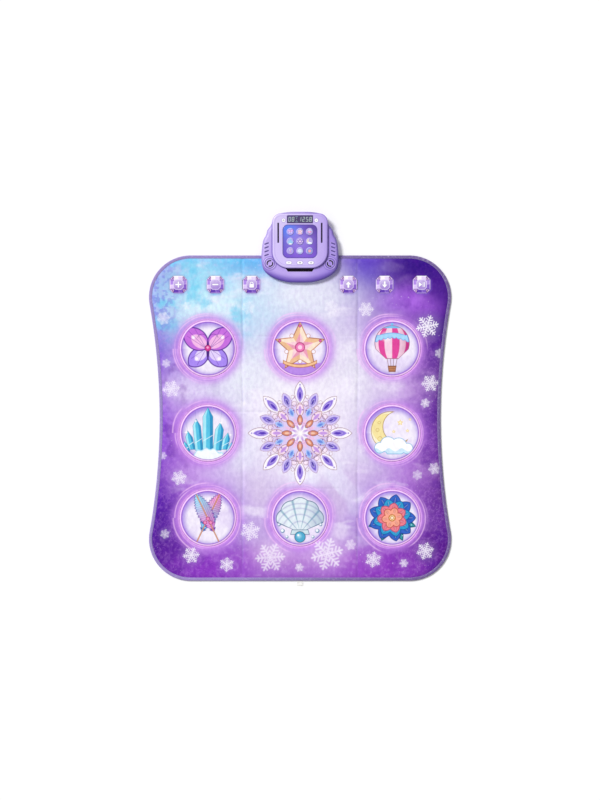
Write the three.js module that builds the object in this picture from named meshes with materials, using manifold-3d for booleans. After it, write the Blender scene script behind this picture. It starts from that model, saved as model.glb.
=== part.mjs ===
// An electronic dance mat for the floor: a padded, printed mat in three panels that fold at two
// seams, with nine step pads, six touch keys and a battery console clamped to its back edge.
// Millimetres, +Z up, +Y towards the console. The origin lies on the floor under the middle of
// the object's length and width.

import * as THREE from "three";
import { mergeVertices } from "three/addons/utils/BufferGeometryUtils.js";
import Module from "manifold-3d";

const wasm = await Module();
wasm.setup();

// Shares of the mat's width
const FOLD_LINE_SHARE = 0.190588;
const PAD_RADIUS_SHARE = 0.094353;
const PAD_PITCH_X_SHARE = 0.304706;
const KEY_SIZE_SHARE = 0.057647;
const KEY_CORNER_SHARE = 0.012941;
const KEY_TABLE_SHARE = 0.034118;
const KEY_INNER_X_SHARE = 0.16;
const KEY_MIDDLE_X_SHARE = 0.28;
const KEY_OUTER_X_SHARE = 0.402353;

// Shares of the mat's length
const PAD_PITCH_Y_SHARE = 0.260109;
const PAD_ROW_OFFSET_SHARE = 0.046448;
const KEY_ROW_SHARE = 0.089617;

// Shares of the console's width
const DECK_WIDTH_SHARE = 0.718894;
const CLAMP_WIDTH_SHARE = 0.737327;
const CLAMP_SCREW_X_SHARE = 0.285714;
const DISPLAY_WIDTH_SHARE = 0.336406;
const ICON_WIDTH_SHARE = 0.447005;
const LED_PITCH_SHARE = 0.124424;
const STANDOFF_X_SHARE = 0.276498;
const ROUND_BUTTON_X_SHARE = 0.211982;
const OVAL_BUTTON_WIDTH_SHARE = 0.076037;
const OVAL_BUTTON_X_SHARE = 0.142857;
const KEYPAD_WIDTH_SHARE = 0.387097;
const SIDE_SLOT_X_SHARE = 0.281106;
const FRONT_SLOT_WIDTH_SHARE = 0.313364;
const FRONT_SLOT_SPREAD_SHARE = 0.078341;
const VENT_LENGTH_SHARE = 0.064516;
const VENT_X_SHARE = 0.430876;
const PORT_X_SHARE = 0.389401;
const PORT_RADIUS_SHARE = 0.080645;
const PORT_SLOT_INNER_SHARE = 0.02765;
const PORT_SLOT_OUTER_SHARE = 0.043779;
const PORT_GROOVE_INNER_SHARE = 0.058065;
const PORT_GROOVE_OUTER_SHARE = 0.066359;
const SPEAKER_RADIUS_SHARE = 0.064516;
const MAGNET_RADIUS_SHARE = 0.036866;

// Shares of the console's reach in front of the mat's back edge
const DECK_FRONT_SHARE = 0.480519;
const CLAMP_LENGTH_SHARE = 0.688312;
const OVAL_BUTTON_Y_SHARE = 0.285714;
const PORT_Y_SHARE = 0.306494;
const RIBBON_Y_SHARE = 0.38961;

// Shares of the console's reach behind the mat's back edge
const DECK_BACK_SHARE = 0.959016;
const DISPLAY_LENGTH_SHARE = 0.183607;
const DISPLAY_Y_SHARE = 0.819672;
const ICON_LENGTH_SHARE = 0.770492;
const ICON_Y_SHARE = 0.311475;
const STANDOFF_BACK_Y_SHARE = 0.786885;
const ROUND_BUTTON_Y_SHARE = 0.795082;
const SIDE_SLOT_FRONT_Y_SHARE = 0.278689;
const SIDE_SLOT_LENGTH_SHARE = 0.459016;

// Shared clearances
const CLEARANCE = 0.3;
const OVERRUN = 2;

// Mat, plan
const MAT_WIDTH = 850;
const MAT_LENGTH = 915;
const CORNER_RADIUS = 117;
const SIDE_LEAN_DEGREES = 10;
const FOLD_LINE = MAT_WIDTH * FOLD_LINE_SHARE;
const SEAM_GAP = 0.6;

// Mat, layers from the floor up
const TAPE_THICKNESS = 0.8;
const TAPE_WIDTH = 9;
const BACKING_THICKNESS = 0.8;
const FILM_THICKNESS = 0.3;
const SPACER_THICKNESS = 2.2;
const COVER_THICKNESS = 5.2;
const COVER_LIP = 2;
const CROWN_RUN = 14;
const SEAM_RUN = 7;

// Step pads and touch keys
const PAD_RADIUS = MAT_WIDTH * PAD_RADIUS_SHARE;
const PAD_PITCH_X = MAT_WIDTH * PAD_PITCH_X_SHARE;
const PAD_PITCH_Y = MAT_LENGTH * PAD_PITCH_Y_SHARE;
const PAD_ROW_OFFSET = MAT_LENGTH * PAD_ROW_OFFSET_SHARE;
const PAD_CROWN = 0.8;
const PAD_ROUND = 9;
const PAD_SHOULDER = 1.6;
const KEY_SIZE = MAT_WIDTH * KEY_SIZE_SHARE;
const KEY_CORNER = MAT_WIDTH * KEY_CORNER_SHARE;
const KEY_TABLE = MAT_WIDTH * KEY_TABLE_SHARE;
const KEY_RISE = 1;
const KEY_ROW = MAT_LENGTH * KEY_ROW_SHARE;
const KEY_INNER_X = MAT_WIDTH * KEY_INNER_X_SHARE;
const KEY_MIDDLE_X = MAT_WIDTH * KEY_MIDDLE_X_SHARE;
const KEY_OUTER_X = MAT_WIDTH * KEY_OUTER_X_SHARE;

// Sewn-in care label
const LABEL_WIDTH = 17;
const LABEL_REACH = 14;
const LABEL_THICKNESS = 0.7;

// Console, plan measured from the mat's back edge
const CONSOLE_WIDTH = 217;
const CONSOLE_FRONT = 77;
const CONSOLE_BACK = 122;
const DECK_WIDTH = CONSOLE_WIDTH * DECK_WIDTH_SHARE;
const DECK_FRONT = CONSOLE_FRONT * DECK_FRONT_SHARE;
const DECK_BACK = CONSOLE_BACK * DECK_BACK_SHARE;
const DECK_FRONT_RADIUS = 46;
const DECK_BACK_RADIUS = 25;

// Console, heights and walls
const WALL = 2.4;
const FLOOR_WALL = 2;
const BOTTOM_RIM = 3;
const TIER_RISE = 13;
const TIER_ROUND = 11;
const DECK_RISE = 9;
const DECK_ROUND = 5;

// Clamp under the mat, with its two screws
const CLAMP_WIDTH = CONSOLE_WIDTH * CLAMP_WIDTH_SHARE;
const CLAMP_LENGTH = CONSOLE_FRONT * CLAMP_LENGTH_SHARE;
const CLAMP_SETBACK = 12;
const CLAMP_SCREW_X = CONSOLE_WIDTH * CLAMP_SCREW_X_SHARE;
const BOSS_RADIUS = 4;
const SCREW_RADIUS = 1.25;
const SCREW_HEAD_RADIUS = 3;
const SCREW_HEAD_HEIGHT = 1.2;
const SCREW_HOLE_RADIUS = 1.65;

// Display, icon window and control board
const DISPLAY_WIDTH = CONSOLE_WIDTH * DISPLAY_WIDTH_SHARE;
const DISPLAY_LENGTH = CONSOLE_BACK * DISPLAY_LENGTH_SHARE;
const DISPLAY_Y = CONSOLE_BACK * DISPLAY_Y_SHARE;
const DISPLAY_RADIUS = 1.5;
const MODULE_HEIGHT = 3;
const ICON_WIDTH = CONSOLE_WIDTH * ICON_WIDTH_SHARE;
const ICON_LENGTH = CONSOLE_BACK * ICON_LENGTH_SHARE;
const ICON_Y = CONSOLE_BACK * ICON_Y_SHARE;
const ICON_RADIUS = 15;
const WINDOW_THICKNESS = 2;
const WINDOW_LEDGE = 2;
const WINDOW_PROUD = 0.2;
const LEAST_CORNER_SHARE = 0.3;
const LED_PITCH = CONSOLE_WIDTH * LED_PITCH_SHARE;
const LED_RADIUS = 2.6;
const LED_HEIGHT = 3;
const BOARD_THICKNESS = 1.6;
const BOARD_INSET = 7;
const BOARD_STANDOFF = 1.4;
const STANDOFF_RADIUS = 3.4;
const STANDOFF_X = CONSOLE_WIDTH * STANDOFF_X_SHARE;
const STANDOFF_BACK_Y = CONSOLE_BACK * STANDOFF_BACK_Y_SHARE;
const STANDOFF_FRONT_Y = 8;

// Console buttons
const ROUND_BUTTON_RADIUS = 4.2;
const ROUND_BUTTON_X = CONSOLE_WIDTH * ROUND_BUTTON_X_SHARE;
const ROUND_BUTTON_Y = CONSOLE_BACK * ROUND_BUTTON_Y_SHARE;
const OVAL_BUTTON_WIDTH = CONSOLE_WIDTH * OVAL_BUTTON_WIDTH_SHARE;
const OVAL_BUTTON_LENGTH = 9;
const OVAL_BUTTON_X = CONSOLE_WIDTH * OVAL_BUTTON_X_SHARE;
const OVAL_BUTTON_Y = CONSOLE_FRONT * OVAL_BUTTON_Y_SHARE;
const BUTTON_PROUD = 1.1;
const BUTTON_FLANGE = 1.3;
const FLANGE_THICKNESS = 1.4;
const KEYPAD_THICKNESS = 0.9;
const KEYPAD_WIDTH = CONSOLE_WIDTH * KEYPAD_WIDTH_SHARE;
const KEYPAD_LENGTH = 11;
const SWITCH_SIZE = 6;
const SWITCH_HEIGHT = 0.9;

// Sound outlets, vents and speakers
const SIDE_SLOT_X = CONSOLE_WIDTH * SIDE_SLOT_X_SHARE;
const SIDE_SLOT_WIDTH = 4.2;
const SIDE_SLOT_FRONT_Y = CONSOLE_BACK * SIDE_SLOT_FRONT_Y_SHARE;
const SIDE_SLOT_LENGTH = CONSOLE_BACK * SIDE_SLOT_LENGTH_SHARE;
const FRONT_SLOT_WIDTH = CONSOLE_WIDTH * FRONT_SLOT_WIDTH_SHARE;
const FRONT_SLOT_REACH = 9.5;
const FRONT_SLOT_SPREAD = CONSOLE_WIDTH * FRONT_SLOT_SPREAD_SHARE;
const FRONT_SLOT_DEPTH = 15;
const VENT_COUNT = 4;
const VENT_LENGTH = CONSOLE_WIDTH * VENT_LENGTH_SHARE;
const VENT_WIDTH = 3.6;
const VENT_PITCH = 10.7;
const VENT_X = CONSOLE_WIDTH * VENT_X_SHARE;
const VENT_BACK_Y = 32;
const VENT_DEPTH = 1.2;
const VENT_TILT_DEGREES = 20;
const PORT_X = CONSOLE_WIDTH * PORT_X_SHARE;
const PORT_Y = CONSOLE_FRONT * PORT_Y_SHARE;
const PORT_RADIUS = CONSOLE_WIDTH * PORT_RADIUS_SHARE;
const PORT_RISE = 1;
const PORT_SLOT_INNER = CONSOLE_WIDTH * PORT_SLOT_INNER_SHARE;
const PORT_SLOT_OUTER = CONSOLE_WIDTH * PORT_SLOT_OUTER_SHARE;
const PORT_ARC_DEGREES = 148;
const PORT_GROOVE_INNER = CONSOLE_WIDTH * PORT_GROOVE_INNER_SHARE;
const PORT_GROOVE_OUTER = CONSOLE_WIDTH * PORT_GROOVE_OUTER_SHARE;
const PORT_GROOVE_DEPTH = 0.8;
const SPEAKER_RADIUS = CONSOLE_WIDTH * SPEAKER_RADIUS_SHARE;
const MAGNET_RADIUS = CONSOLE_WIDTH * MAGNET_RADIUS_SHARE;
const MAGNET_HEIGHT = 5.5;
const SPEAKER_RIM = 1.4;
const SPEAKER_DROP = 3.6;
const COLLAR_WALL = 1.6;

// Battery bay, cells and door
const CELL_RADIUS = 7.1;
const CELL_LENGTH = 50.5;
const CELL_COUNT = 3;
const CELL_PITCH = 15;
const CELL_TIP_RADIUS = 2.7;
const CELL_TIP_LENGTH = 1.2;
const BAY_Y = 62;
const BAY_WALL = 1.5;
const BAY_END_ROOM = 1.6;
const DOOR_THICKNESS = 1.6;
const DOOR_LEDGE = 2.6;
const DOOR_TAB = 9;
const DOOR_SCREW_HEAD_HEIGHT = 0.8;

// Amplifier board and the mat's ribbon
const AMP_WIDTH = 66;
const AMP_LENGTH = 42;
const CHIP_WIDTH = 18;
const CHIP_LENGTH = 12;
const CHIP_HEIGHT = 2.2;
const CAPACITOR_RADIUS = 3.6;
const CAPACITOR_HEIGHT = 3.2;
const CAPACITOR_SHARE = 0.3;
const RIBBON_WIDTH = 20;
const RIBBON_THICKNESS = 0.4;
const RIBBON_Y = CONSOLE_FRONT * RIBBON_Y_SHARE;
const RIBBON_FOOT = 6;
const RIBBON_LAP = 7;
const RIBBON_SLOT_ROOM = 1;

// Facet counts
const PAD_SEGMENTS = 24;
const ROUND_SEGMENTS = 16;
const SCREW_SEGMENTS = 10;
const SMALL_SEGMENTS = 8;
const CORNER_STEPS = 7;
const SIDE_STEPS = 8;
const WINDOW_STEPS = 4;
const OVAL_STEPS = 4;
const VENT_STEPS = 2;
const TIER_POINTS = 52;

// Levels worked out from the sizes above
const matBackY = (MAT_LENGTH + LABEL_REACH - CONSOLE_BACK) / 2;
const stackBase = Math.max(TAPE_THICKNESS, BACKING_THICKNESS);
const spacerZ = stackBase + FILM_THICKNESS;
const upperFilmZ = spacerZ + SPACER_THICKNESS;
const coverZ = upperFilmZ + FILM_THICKNESS;
const lipZ = coverZ + COVER_LIP;
const matTop = coverZ + COVER_THICKNESS;
const layerInset = TAPE_THICKNESS + CLEARANCE;
const floorZ = matTop + CLEARANCE;
const partingZ = floorZ + FLOOR_WALL + BOTTOM_RIM;
const roofZ = partingZ + TIER_RISE;
const roofUnder = roofZ - WALL;
const deckTop = roofZ + DECK_RISE;
const deckUnder = deckTop - WALL;
const speakerTop = roofUnder - SPEAKER_DROP;
const boardZ = roofZ + BOARD_STANDOFF;
const boardTop = boardZ + BOARD_THICKNESS;

const lavender = plastic(0xb9a3e3, 0.38);
const paleLavender = plastic(0xc9b8ec, 0.36);
const whitePlastic = plastic(0xf1eef5, 0.4);
const steel = new THREE.MeshStandardMaterial({ color: 0xb9bcc2, roughness: 0.3, metalness: 1 });
const printedFabric = plastic(0xa678cf, 0.85);
const padFabric = plastic(0xd9c2ee, 0.85);
const tapeFabric = plastic(0x8a76a8, 0.8);
const foam = plastic(0xe9e7ee, 0.9);
const film = plastic(0xcfd6da, 0.35);
const backingFabric = plastic(0x4b4655, 0.9);
const labelFabric = plastic(0xf4f4f2, 0.85);
const darkGlass = plastic(0x241a4a, 0.15);
const iconGlass = plastic(0x6a50bd, 0.2);
const circuitBoard = plastic(0x2d6b46, 0.5);
const blackPlastic = plastic(0x25222b, 0.55);
const rubber = plastic(0xd8d4de, 0.8);
const cellJacket = plastic(0x4a4f58, 0.35);

function plastic(color, roughness) {
  return new THREE.MeshStandardMaterial({ color, roughness, metalness: 0 });
}

// Solids in and out of the boolean library

function solidOf(geometry) {
  const bare = new THREE.BufferGeometry();
  const flat = geometry.index ? geometry.toNonIndexed() : geometry;
  bare.setAttribute("position", flat.getAttribute("position"));
  const merged = mergeVertices(bare, 1e-4);
  return new wasm.Manifold(
    new wasm.Mesh({
      numProp: 3,
      vertProperties: merged.attributes.position.array,
      triVerts: new Uint32Array(merged.index.array),
    }),
  );
}

function geometryOf(solid) {
  const mesh = solid.getMesh();
  const geometry = new THREE.BufferGeometry();
  geometry.setAttribute("position", new THREE.BufferAttribute(mesh.vertProperties, mesh.numProp));
  geometry.setIndex(new THREE.BufferAttribute(mesh.triVerts, 1));
  geometry.computeVertexNormals();
  return geometry;
}

const cut = (solid, ...tools) => tools.reduce((left, tool) => left.subtract(tool), solid);
const join = (solid, ...others) => others.reduce((whole, other) => whole.add(other), solid);

// Outlines: lists of points, turning left round the shape

function turnLeft(points) {
  return THREE.ShapeUtils.isClockWise(points) ? points.slice().reverse() : points;
}

function circle(x, y, radius, segments) {
  return Array.from({ length: segments }, (_, i) => {
    const angle = (i / segments) * 2 * Math.PI;
    return new THREE.Vector2(x + radius * Math.cos(angle), y + radius * Math.sin(angle));
  });
}

function rectangle(x0, x1, y0, y1) {
  return [
    new THREE.Vector2(x0, y0),
    new THREE.Vector2(x1, y0),
    new THREE.Vector2(x1, y1),
    new THREE.Vector2(x0, y1),
  ];
}

// A rectangle with its own corner radius at the front and at the back.
function roundedRectangle(x0, x1, y0, y1, frontRadius, backRadius, steps) {
  const corners = [
    [x1 - frontRadius, y0 + frontRadius, frontRadius, 3],
    [x1 - backRadius, y1 - backRadius, backRadius, 0],
    [x0 + backRadius, y1 - backRadius, backRadius, 1],
    [x0 + frontRadius, y0 + frontRadius, frontRadius, 2],
  ];
  const points = [];
  for (const [x, y, radius, quarter] of corners) {
    for (let i = 0; i <= steps; i++) {
      const angle = ((quarter + i / steps) * Math.PI) / 2;
      points.push(new THREE.Vector2(x + radius * Math.cos(angle), y + radius * Math.sin(angle)));
    }
  }
  return points;
}

// A square with its corners cut off at 45 degrees.
function cutSquare(x, y, size, corner) {
  const half = size / 2;
  const flat = half - corner;
  const points = [];
  for (let quarter = 0; quarter < 4; quarter++) {
    const turn = (quarter * Math.PI) / 2;
    for (const [px, py] of [[half, -flat], [half, flat]]) {
      const point = new THREE.Vector2(px, py).rotateAround(new THREE.Vector2(), turn);
      points.push(point.add(new THREE.Vector2(x, y)));
    }
  }
  return points;
}

// Moves each point of a closed outline inwards, by a distance or by a function of the point.
function inset(points, distance) {
  const count = points.length;
  return points.map((point, i) => {
    const before = points[(i + count - 1) % count];
    const after = points[(i + 1) % count];
    const first = point.clone().sub(before).normalize();
    const second = after.clone().sub(point).normalize();
    const normal = new THREE.Vector2(-first.y - second.y, first.x + second.x).normalize();
    const spread = normal.dot(new THREE.Vector2(-second.y, second.x));
    const amount = typeof distance === "function" ? distance(point) : distance;
    return point.clone().addScaledVector(normal, amount / spread);
  });
}

const mirrored = (points) => turnLeft(points.map((p) => new THREE.Vector2(-p.x, p.y)));

// Solids from outlines

function prism(points, bottom, top) {
  const shape = new THREE.Shape(turnLeft(points));
  const geometry = new THREE.ExtrudeGeometry(shape, { depth: top - bottom, bevelEnabled: false });
  return solidOf(geometry.translate(0, 0, bottom));
}

// A solid through a stack of outlines with equal point counts, from the lowest to the highest.
function loft(rings) {
  const count = rings[0].points.length;
  const positions = [];
  for (const { points, z } of rings) {
    for (const p of points) positions.push(p.x, p.y, z);
  }
  const index = [];
  for (let k = 0; k + 1 < rings.length; k++) {
    for (let i = 0; i < count; i++) {
      const a = k * count + i;
      const b = k * count + ((i + 1) % count);
      index.push(a, b, b + count, a, b + count, a + count);
    }
  }
  const last = (rings.length - 1) * count;
  for (const [a, b, c] of THREE.ShapeUtils.triangulateShape(rings[0].points, [])) {
    index.push(c, b, a);
  }
  for (const [a, b, c] of THREE.ShapeUtils.triangulateShape(rings.at(-1).points, [])) {
    index.push(last + a, last + b, last + c);
  }
  const geometry = new THREE.BufferGeometry();
  geometry.setAttribute("position", new THREE.Float32BufferAttribute(positions, 3));
  geometry.setIndex(index);
  return solidOf(geometry);
}

function cylinder(x, y, radius, bottom, top, segments = ROUND_SEGMENTS) {
  return prism(circle(x, y, radius, segments), bottom, top);
}

const box = (x0, x1, y0, y1, bottom, top) => prism(rectangle(x0, x1, y0, y1), bottom, top);

// Mat outline. The run goes from the back end of the fold line, round the outer edge, to its
// front end, moved inwards by edgeInset. The side between the corners is a shallow parabola.
function outerRun(edgeInset) {
  const lean = THREE.MathUtils.degToRad(SIDE_LEAN_DEGREES);
  const cornerX = MAT_WIDTH / 2 - CORNER_RADIUS;
  const cornerY = MAT_LENGTH / 2 - CORNER_RADIUS;
  const sweep = Math.PI / 2 + lean;
  const arc = Array.from({ length: CORNER_STEPS + 1 }, (_, i) => {
    const angle = Math.PI / 2 - (i / CORNER_STEPS) * sweep;
    const radius = CORNER_RADIUS - edgeInset;
    return new THREE.Vector2(cornerX + radius * Math.cos(angle), cornerY + radius * Math.sin(angle));
  });
  const end = arc.at(-1);
  const control = end.x - end.y * Math.tan(lean);
  const side = [];
  for (let i = 1; i < SIDE_STEPS; i++) {
    const t = i / SIDE_STEPS;
    const x = end.x * (1 - 2 * t * (1 - t)) + control * 2 * t * (1 - t);
    side.push(new THREE.Vector2(x, end.y * (1 - 2 * t)));
  }
  const front = arc.map((p) => new THREE.Vector2(p.x, -p.y)).reverse();
  return [...arc, ...side, ...front].map((p) => new THREE.Vector2(p.x, p.y - MAT_LENGTH / 2));
}

// One of the mat's panels, moved inwards at its outer edge and at its fold lines.
function panelOutline(panel, edgeInset, foldInset) {
  if (panel === "middle") {
    const half = FOLD_LINE - foldInset;
    return rectangle(-half, half, edgeInset - MAT_LENGTH, -edgeInset);
  }
  const fold = FOLD_LINE + foldInset;
  const right = turnLeft([
    new THREE.Vector2(fold, -edgeInset),
    ...outerRun(edgeInset),
    new THREE.Vector2(fold, edgeInset - MAT_LENGTH),
  ]);
  return panel === "right" ? right : mirrored(right);
}

// Where the pads and keys are, and which panel carries each.
const panels = ["left", "middle", "right"];
const padRowY = (row) => -MAT_LENGTH / 2 - PAD_ROW_OFFSET + row * PAD_PITCH_Y;
const pads = [-1, 0, 1].flatMap((row) =>
  [-1, 0, 1].map((column) => ({
    name: `step_pad_${["front", "centre", "back"][row + 1]}_${panels[column + 1]}`,
    panel: panels[column + 1],
    x: column * PAD_PITCH_X,
    y: padRowY(row),
  })),
);
const keys = [
  { name: "touch_key_plus", panel: "left", x: -KEY_OUTER_X },
  { name: "touch_key_minus", panel: "left", x: -KEY_MIDDLE_X },
  { name: "touch_key_lock", panel: "middle", x: -KEY_INNER_X },
  { name: "touch_key_up", panel: "middle", x: KEY_INNER_X },
  { name: "touch_key_down", panel: "right", x: KEY_MIDDLE_X },
  { name: "touch_key_play", panel: "right", x: KEY_OUTER_X },
];

// Cutters for everything that passes through the layers of one panel.
function zoneCutters(panel, bottom, top) {
  const cutters = [];
  for (const pad of pads.filter((p) => p.panel === panel)) {
    const hole = circle(pad.x, pad.y, PAD_RADIUS + CLEARANCE, PAD_SEGMENTS);
    cutters.push(prism(hole, bottom - OVERRUN, top + OVERRUN));
  }
  for (const key of keys.filter((k) => k.panel === panel)) {
    const hole = inset(cutSquare(key.x, -KEY_ROW, KEY_SIZE, KEY_CORNER), -CLEARANCE);
    cutters.push(prism(hole, bottom - OVERRUN, top + OVERRUN));
  }
  return cutters;
}

const clampFrontY = -CLAMP_SETBACK - CLAMP_LENGTH;
const clampScrewY = -CLAMP_SETBACK - CLAMP_LENGTH / 2;
const clampPocket = rectangle(
  -CLAMP_WIDTH / 2 - CLEARANCE,
  CLAMP_WIDTH / 2 + CLEARANCE,
  clampFrontY - CLEARANCE,
  -CLAMP_SETBACK + CLEARANCE,
);
const clampTop = upperFilmZ - CLEARANCE;

function clampBossHoles(bottom, top) {
  return [-1, 1].map((side) =>
    cylinder(side * CLAMP_SCREW_X, clampScrewY, BOSS_RADIUS + CLEARANCE, bottom, top),
  );
}

function ribbonSlot(bottom, top) {
  const half = RIBBON_WIDTH / 2 + RIBBON_SLOT_ROOM;
  const front = -RIBBON_Y - RIBBON_FOOT - RIBBON_SLOT_ROOM;
  return box(-half, half, front, -RIBBON_Y + RIBBON_THICKNESS + RIBBON_SLOT_ROOM, bottom, top);
}

// A flat layer of the mat. The lower layers give way to the clamp, the upper ones to its bosses.
function flatLayer(panel, edgeInset, bottom, top, { zones, clamp }) {
  let solid = prism(panelOutline(panel, edgeInset, SEAM_GAP / 2), bottom, top);
  if (zones) solid = cut(solid, ...zoneCutters(panel, bottom, top));
  if (panel !== "middle") return solid;
  if (clamp) return cut(solid, prism(clampPocket, bottom - OVERRUN, top + OVERRUN));
  return cut(solid, ...clampBossHoles(bottom - OVERRUN, top + OVERRUN));
}

// The plush cover on its sponge: a thin lip under the tape, then a rounded rise to full height,
// drawn in along the fold seams. The shares are of the run inwards and of the rise.
const coverRoundShares = [
  [0, 0],
  [0.12, 0.42],
  [0.42, 0.82],
  [1, 1],
];

function cover(panel) {
  const seam = SEAM_GAP / 2;
  const lipEnd = TAPE_WIDTH + CLEARANCE;
  const rise = matTop - lipZ;
  const profile = [
    [layerInset, 0, coverZ],
    [layerInset, 0, lipZ],
    ...coverRoundShares.map(([run, up]) => [lipEnd + CROWN_RUN * run, SEAM_RUN * run, lipZ + rise * up]),
  ];
  const rings = profile.map(([edge, fold, z]) => ({
    points: panelOutline(panel, edge, seam + fold),
    z,
  }));
  const solid = cut(loft(rings), ...zoneCutters(panel, coverZ, matTop));
  if (panel !== "middle") return solid;
  const through = [coverZ - OVERRUN, matTop + OVERRUN];
  return cut(solid, ribbonSlot(...through), ...clampBossHoles(...through));
}

// Binding tape: a folded strip that wraps the outer edge of the layers.
function binding(panel) {
  const top = lipZ + TAPE_THICKNESS;
  const bottom = stackBase - TAPE_THICKNESS;
  const outer = prism(panelOutline(panel, 0, SEAM_GAP / 2), bottom, top);
  const slot = prism(panelOutline(panel, TAPE_THICKNESS, -OVERRUN), stackBase, lipZ);
  const middle = prism(panelOutline(panel, TAPE_WIDTH, -OVERRUN), bottom - OVERRUN, top + OVERRUN);
  return cut(outer, slot, middle);
}

// The middle panel has two straight runs of tape, one at each end.
function bindingEnd(atFront) {
  const half = FOLD_LINE;
  const keep = atFront
    ? box(-half, half, -MAT_LENGTH - OVERRUN, -MAT_LENGTH / 2, -OVERRUN, matTop)
    : box(-half, half, -MAT_LENGTH / 2, OVERRUN, -OVERRUN, matTop);
  return binding("middle").intersect(keep);
}

// Step pads have a rounded shoulder and a low crown. The shares are of the round inwards and of
// the shoulder's rise.
const padRoundShares = [
  [0, 0],
  [0.3, 0.75],
  [1, 1],
];
const PAD_CROWN_SHARE = 0.5;

function stepPad({ x, y }) {
  const ring = (shrink, z) => ({ points: circle(x, y, PAD_RADIUS - shrink, PAD_SEGMENTS), z });
  const shoulderZ = matTop - PAD_SHOULDER;
  return loft([
    ring(0, upperFilmZ),
    ...padRoundShares.map(([run, up]) => ring(PAD_ROUND * run, shoulderZ + PAD_SHOULDER * up)),
    ring(PAD_RADIUS * PAD_CROWN_SHARE, matTop + PAD_CROWN),
  ]);
}

// Touch keys are cut like a square stone, with a flat table and sloping sides.
function touchKey({ x }) {
  const cornerShare = KEY_CORNER / KEY_SIZE;
  const ring = (size, z) => ({ points: cutSquare(x, -KEY_ROW, size, size * cornerShare), z });
  return loft([
    ring(KEY_SIZE, upperFilmZ),
    ring(KEY_SIZE, matTop - KEY_RISE),
    ring(KEY_TABLE, matTop + KEY_RISE),
  ]);
}

function careLabel() {
  const half = LABEL_WIDTH / 2;
  return box(-half, half, -MAT_LENGTH - LABEL_REACH, -MAT_LENGTH, stackBase, stackBase + LABEL_THICKNESS);
}

// Console outlines. The tier's points are shares of its half width and of its reach forwards
// (negative) or backwards from the mat's edge, down its right side from front to back.
const tierShares = [
  [0, -1],
  [0.363, -0.972],
  [0.727, -0.8],
  [0.93, -0.56],
  [0.99, -0.3],
  [1, -0.08],
  [0.985, 0.17],
  [0.945, 0.36],
  [0.878, 0.47],
  [0.85, 0.57],
  [0.745, 0.7],
  [0.7, 0.82],
  [0.6, 0.93],
  [0.35, 0.988],
  [0, 1],
];

function tierOutline() {
  const place = ([across, along]) =>
    new THREE.Vector3(
      (across * CONSOLE_WIDTH) / 2,
      along * (along < 0 ? CONSOLE_FRONT : CONSOLE_BACK),
      0,
    );
  const right = tierShares.map(place);
  const left = tierShares.slice(1, -1).reverse().map(([across, along]) => place([-across, along]));
  const curve = new THREE.CatmullRomCurve3([...right, ...left], true, "centripetal");
  const points = curve.getPoints(TIER_POINTS).slice(0, -1);
  return turnLeft(points.map((p) => new THREE.Vector2(p.x, p.y)));
}

const tier = tierOutline();
const deck = roundedRectangle(
  -DECK_WIDTH / 2,
  DECK_WIDTH / 2,
  -DECK_FRONT,
  DECK_BACK,
  DECK_FRONT_RADIUS,
  DECK_BACK_RADIUS,
  CORNER_STEPS,
);

// The tier's rounded edge is wider over its front lip. Shares of the round and of the rise.
const tierProfileShares = [
  [0, 0],
  [0, 0.42],
  [0.12, 0.68],
  [0.42, 0.9],
  [1, 1],
];
const lipWidenShare = 0.9;
const lipStartShare = 0.4;
const lipEndShare = 0.95;

function lipWidening(point) {
  const forwards = -point.y / CONSOLE_FRONT;
  return 1 + lipWidenShare * THREE.MathUtils.smoothstep(forwards, lipStartShare, lipEndShare);
}

function tierBody(wall, drop) {
  const start = inset(tier, wall);
  const height = TIER_RISE - drop;
  return loft(
    tierProfileShares.map(([round, rise]) => ({
      points: inset(start, (p) => round * TIER_ROUND * lipWidening(p)),
      z: partingZ + rise * height,
    })),
  );
}

// A stadium outline, for the oval buttons and their holes.
function stadium(x, y, width, length, steps = OVAL_STEPS) {
  const radius = length / 2;
  return roundedRectangle(x - width / 2, x + width / 2, y - radius, y + radius, radius, radius, steps);
}

function ringSector(x, y, inner, outer, middleAngle, sweep, bottom, top) {
  const steps = ROUND_SEGMENTS / 2;
  const at = (radius, i) => {
    const angle = middleAngle + (i / steps - 0.5) * sweep;
    return new THREE.Vector2(x + radius * Math.cos(angle), y + radius * Math.sin(angle));
  };
  const out = Array.from({ length: steps + 1 }, (_, i) => at(outer, i));
  const back = Array.from({ length: steps + 1 }, (_, i) => at(inner, steps - i));
  return prism([...out, ...back], bottom, top);
}

// Battery bay, shared by the bottom shell, the cells and the door
const bayHalfX = CELL_LENGTH / 2 + BAY_END_ROOM;
const bayHalfY = ((CELL_COUNT - 1) * CELL_PITCH) / 2 + CELL_RADIUS + CLEARANCE;
const doorTop = CLEARANCE + DOOR_THICKNESS;
const cellZ = Math.max(WALL, doorTop + CLEARANCE) + CELL_RADIUS;
const bayTop = cellZ + CELL_RADIUS + CLEARANCE;
const doorHalfX = bayHalfX + DOOR_LEDGE;
const doorFrontY = BAY_Y - bayHalfY - DOOR_LEDGE - DOOR_TAB;
const doorBackY = BAY_Y + bayHalfY + DOOR_LEDGE;
const doorScrewY = doorFrontY + DOOR_TAB / 2;

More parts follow.
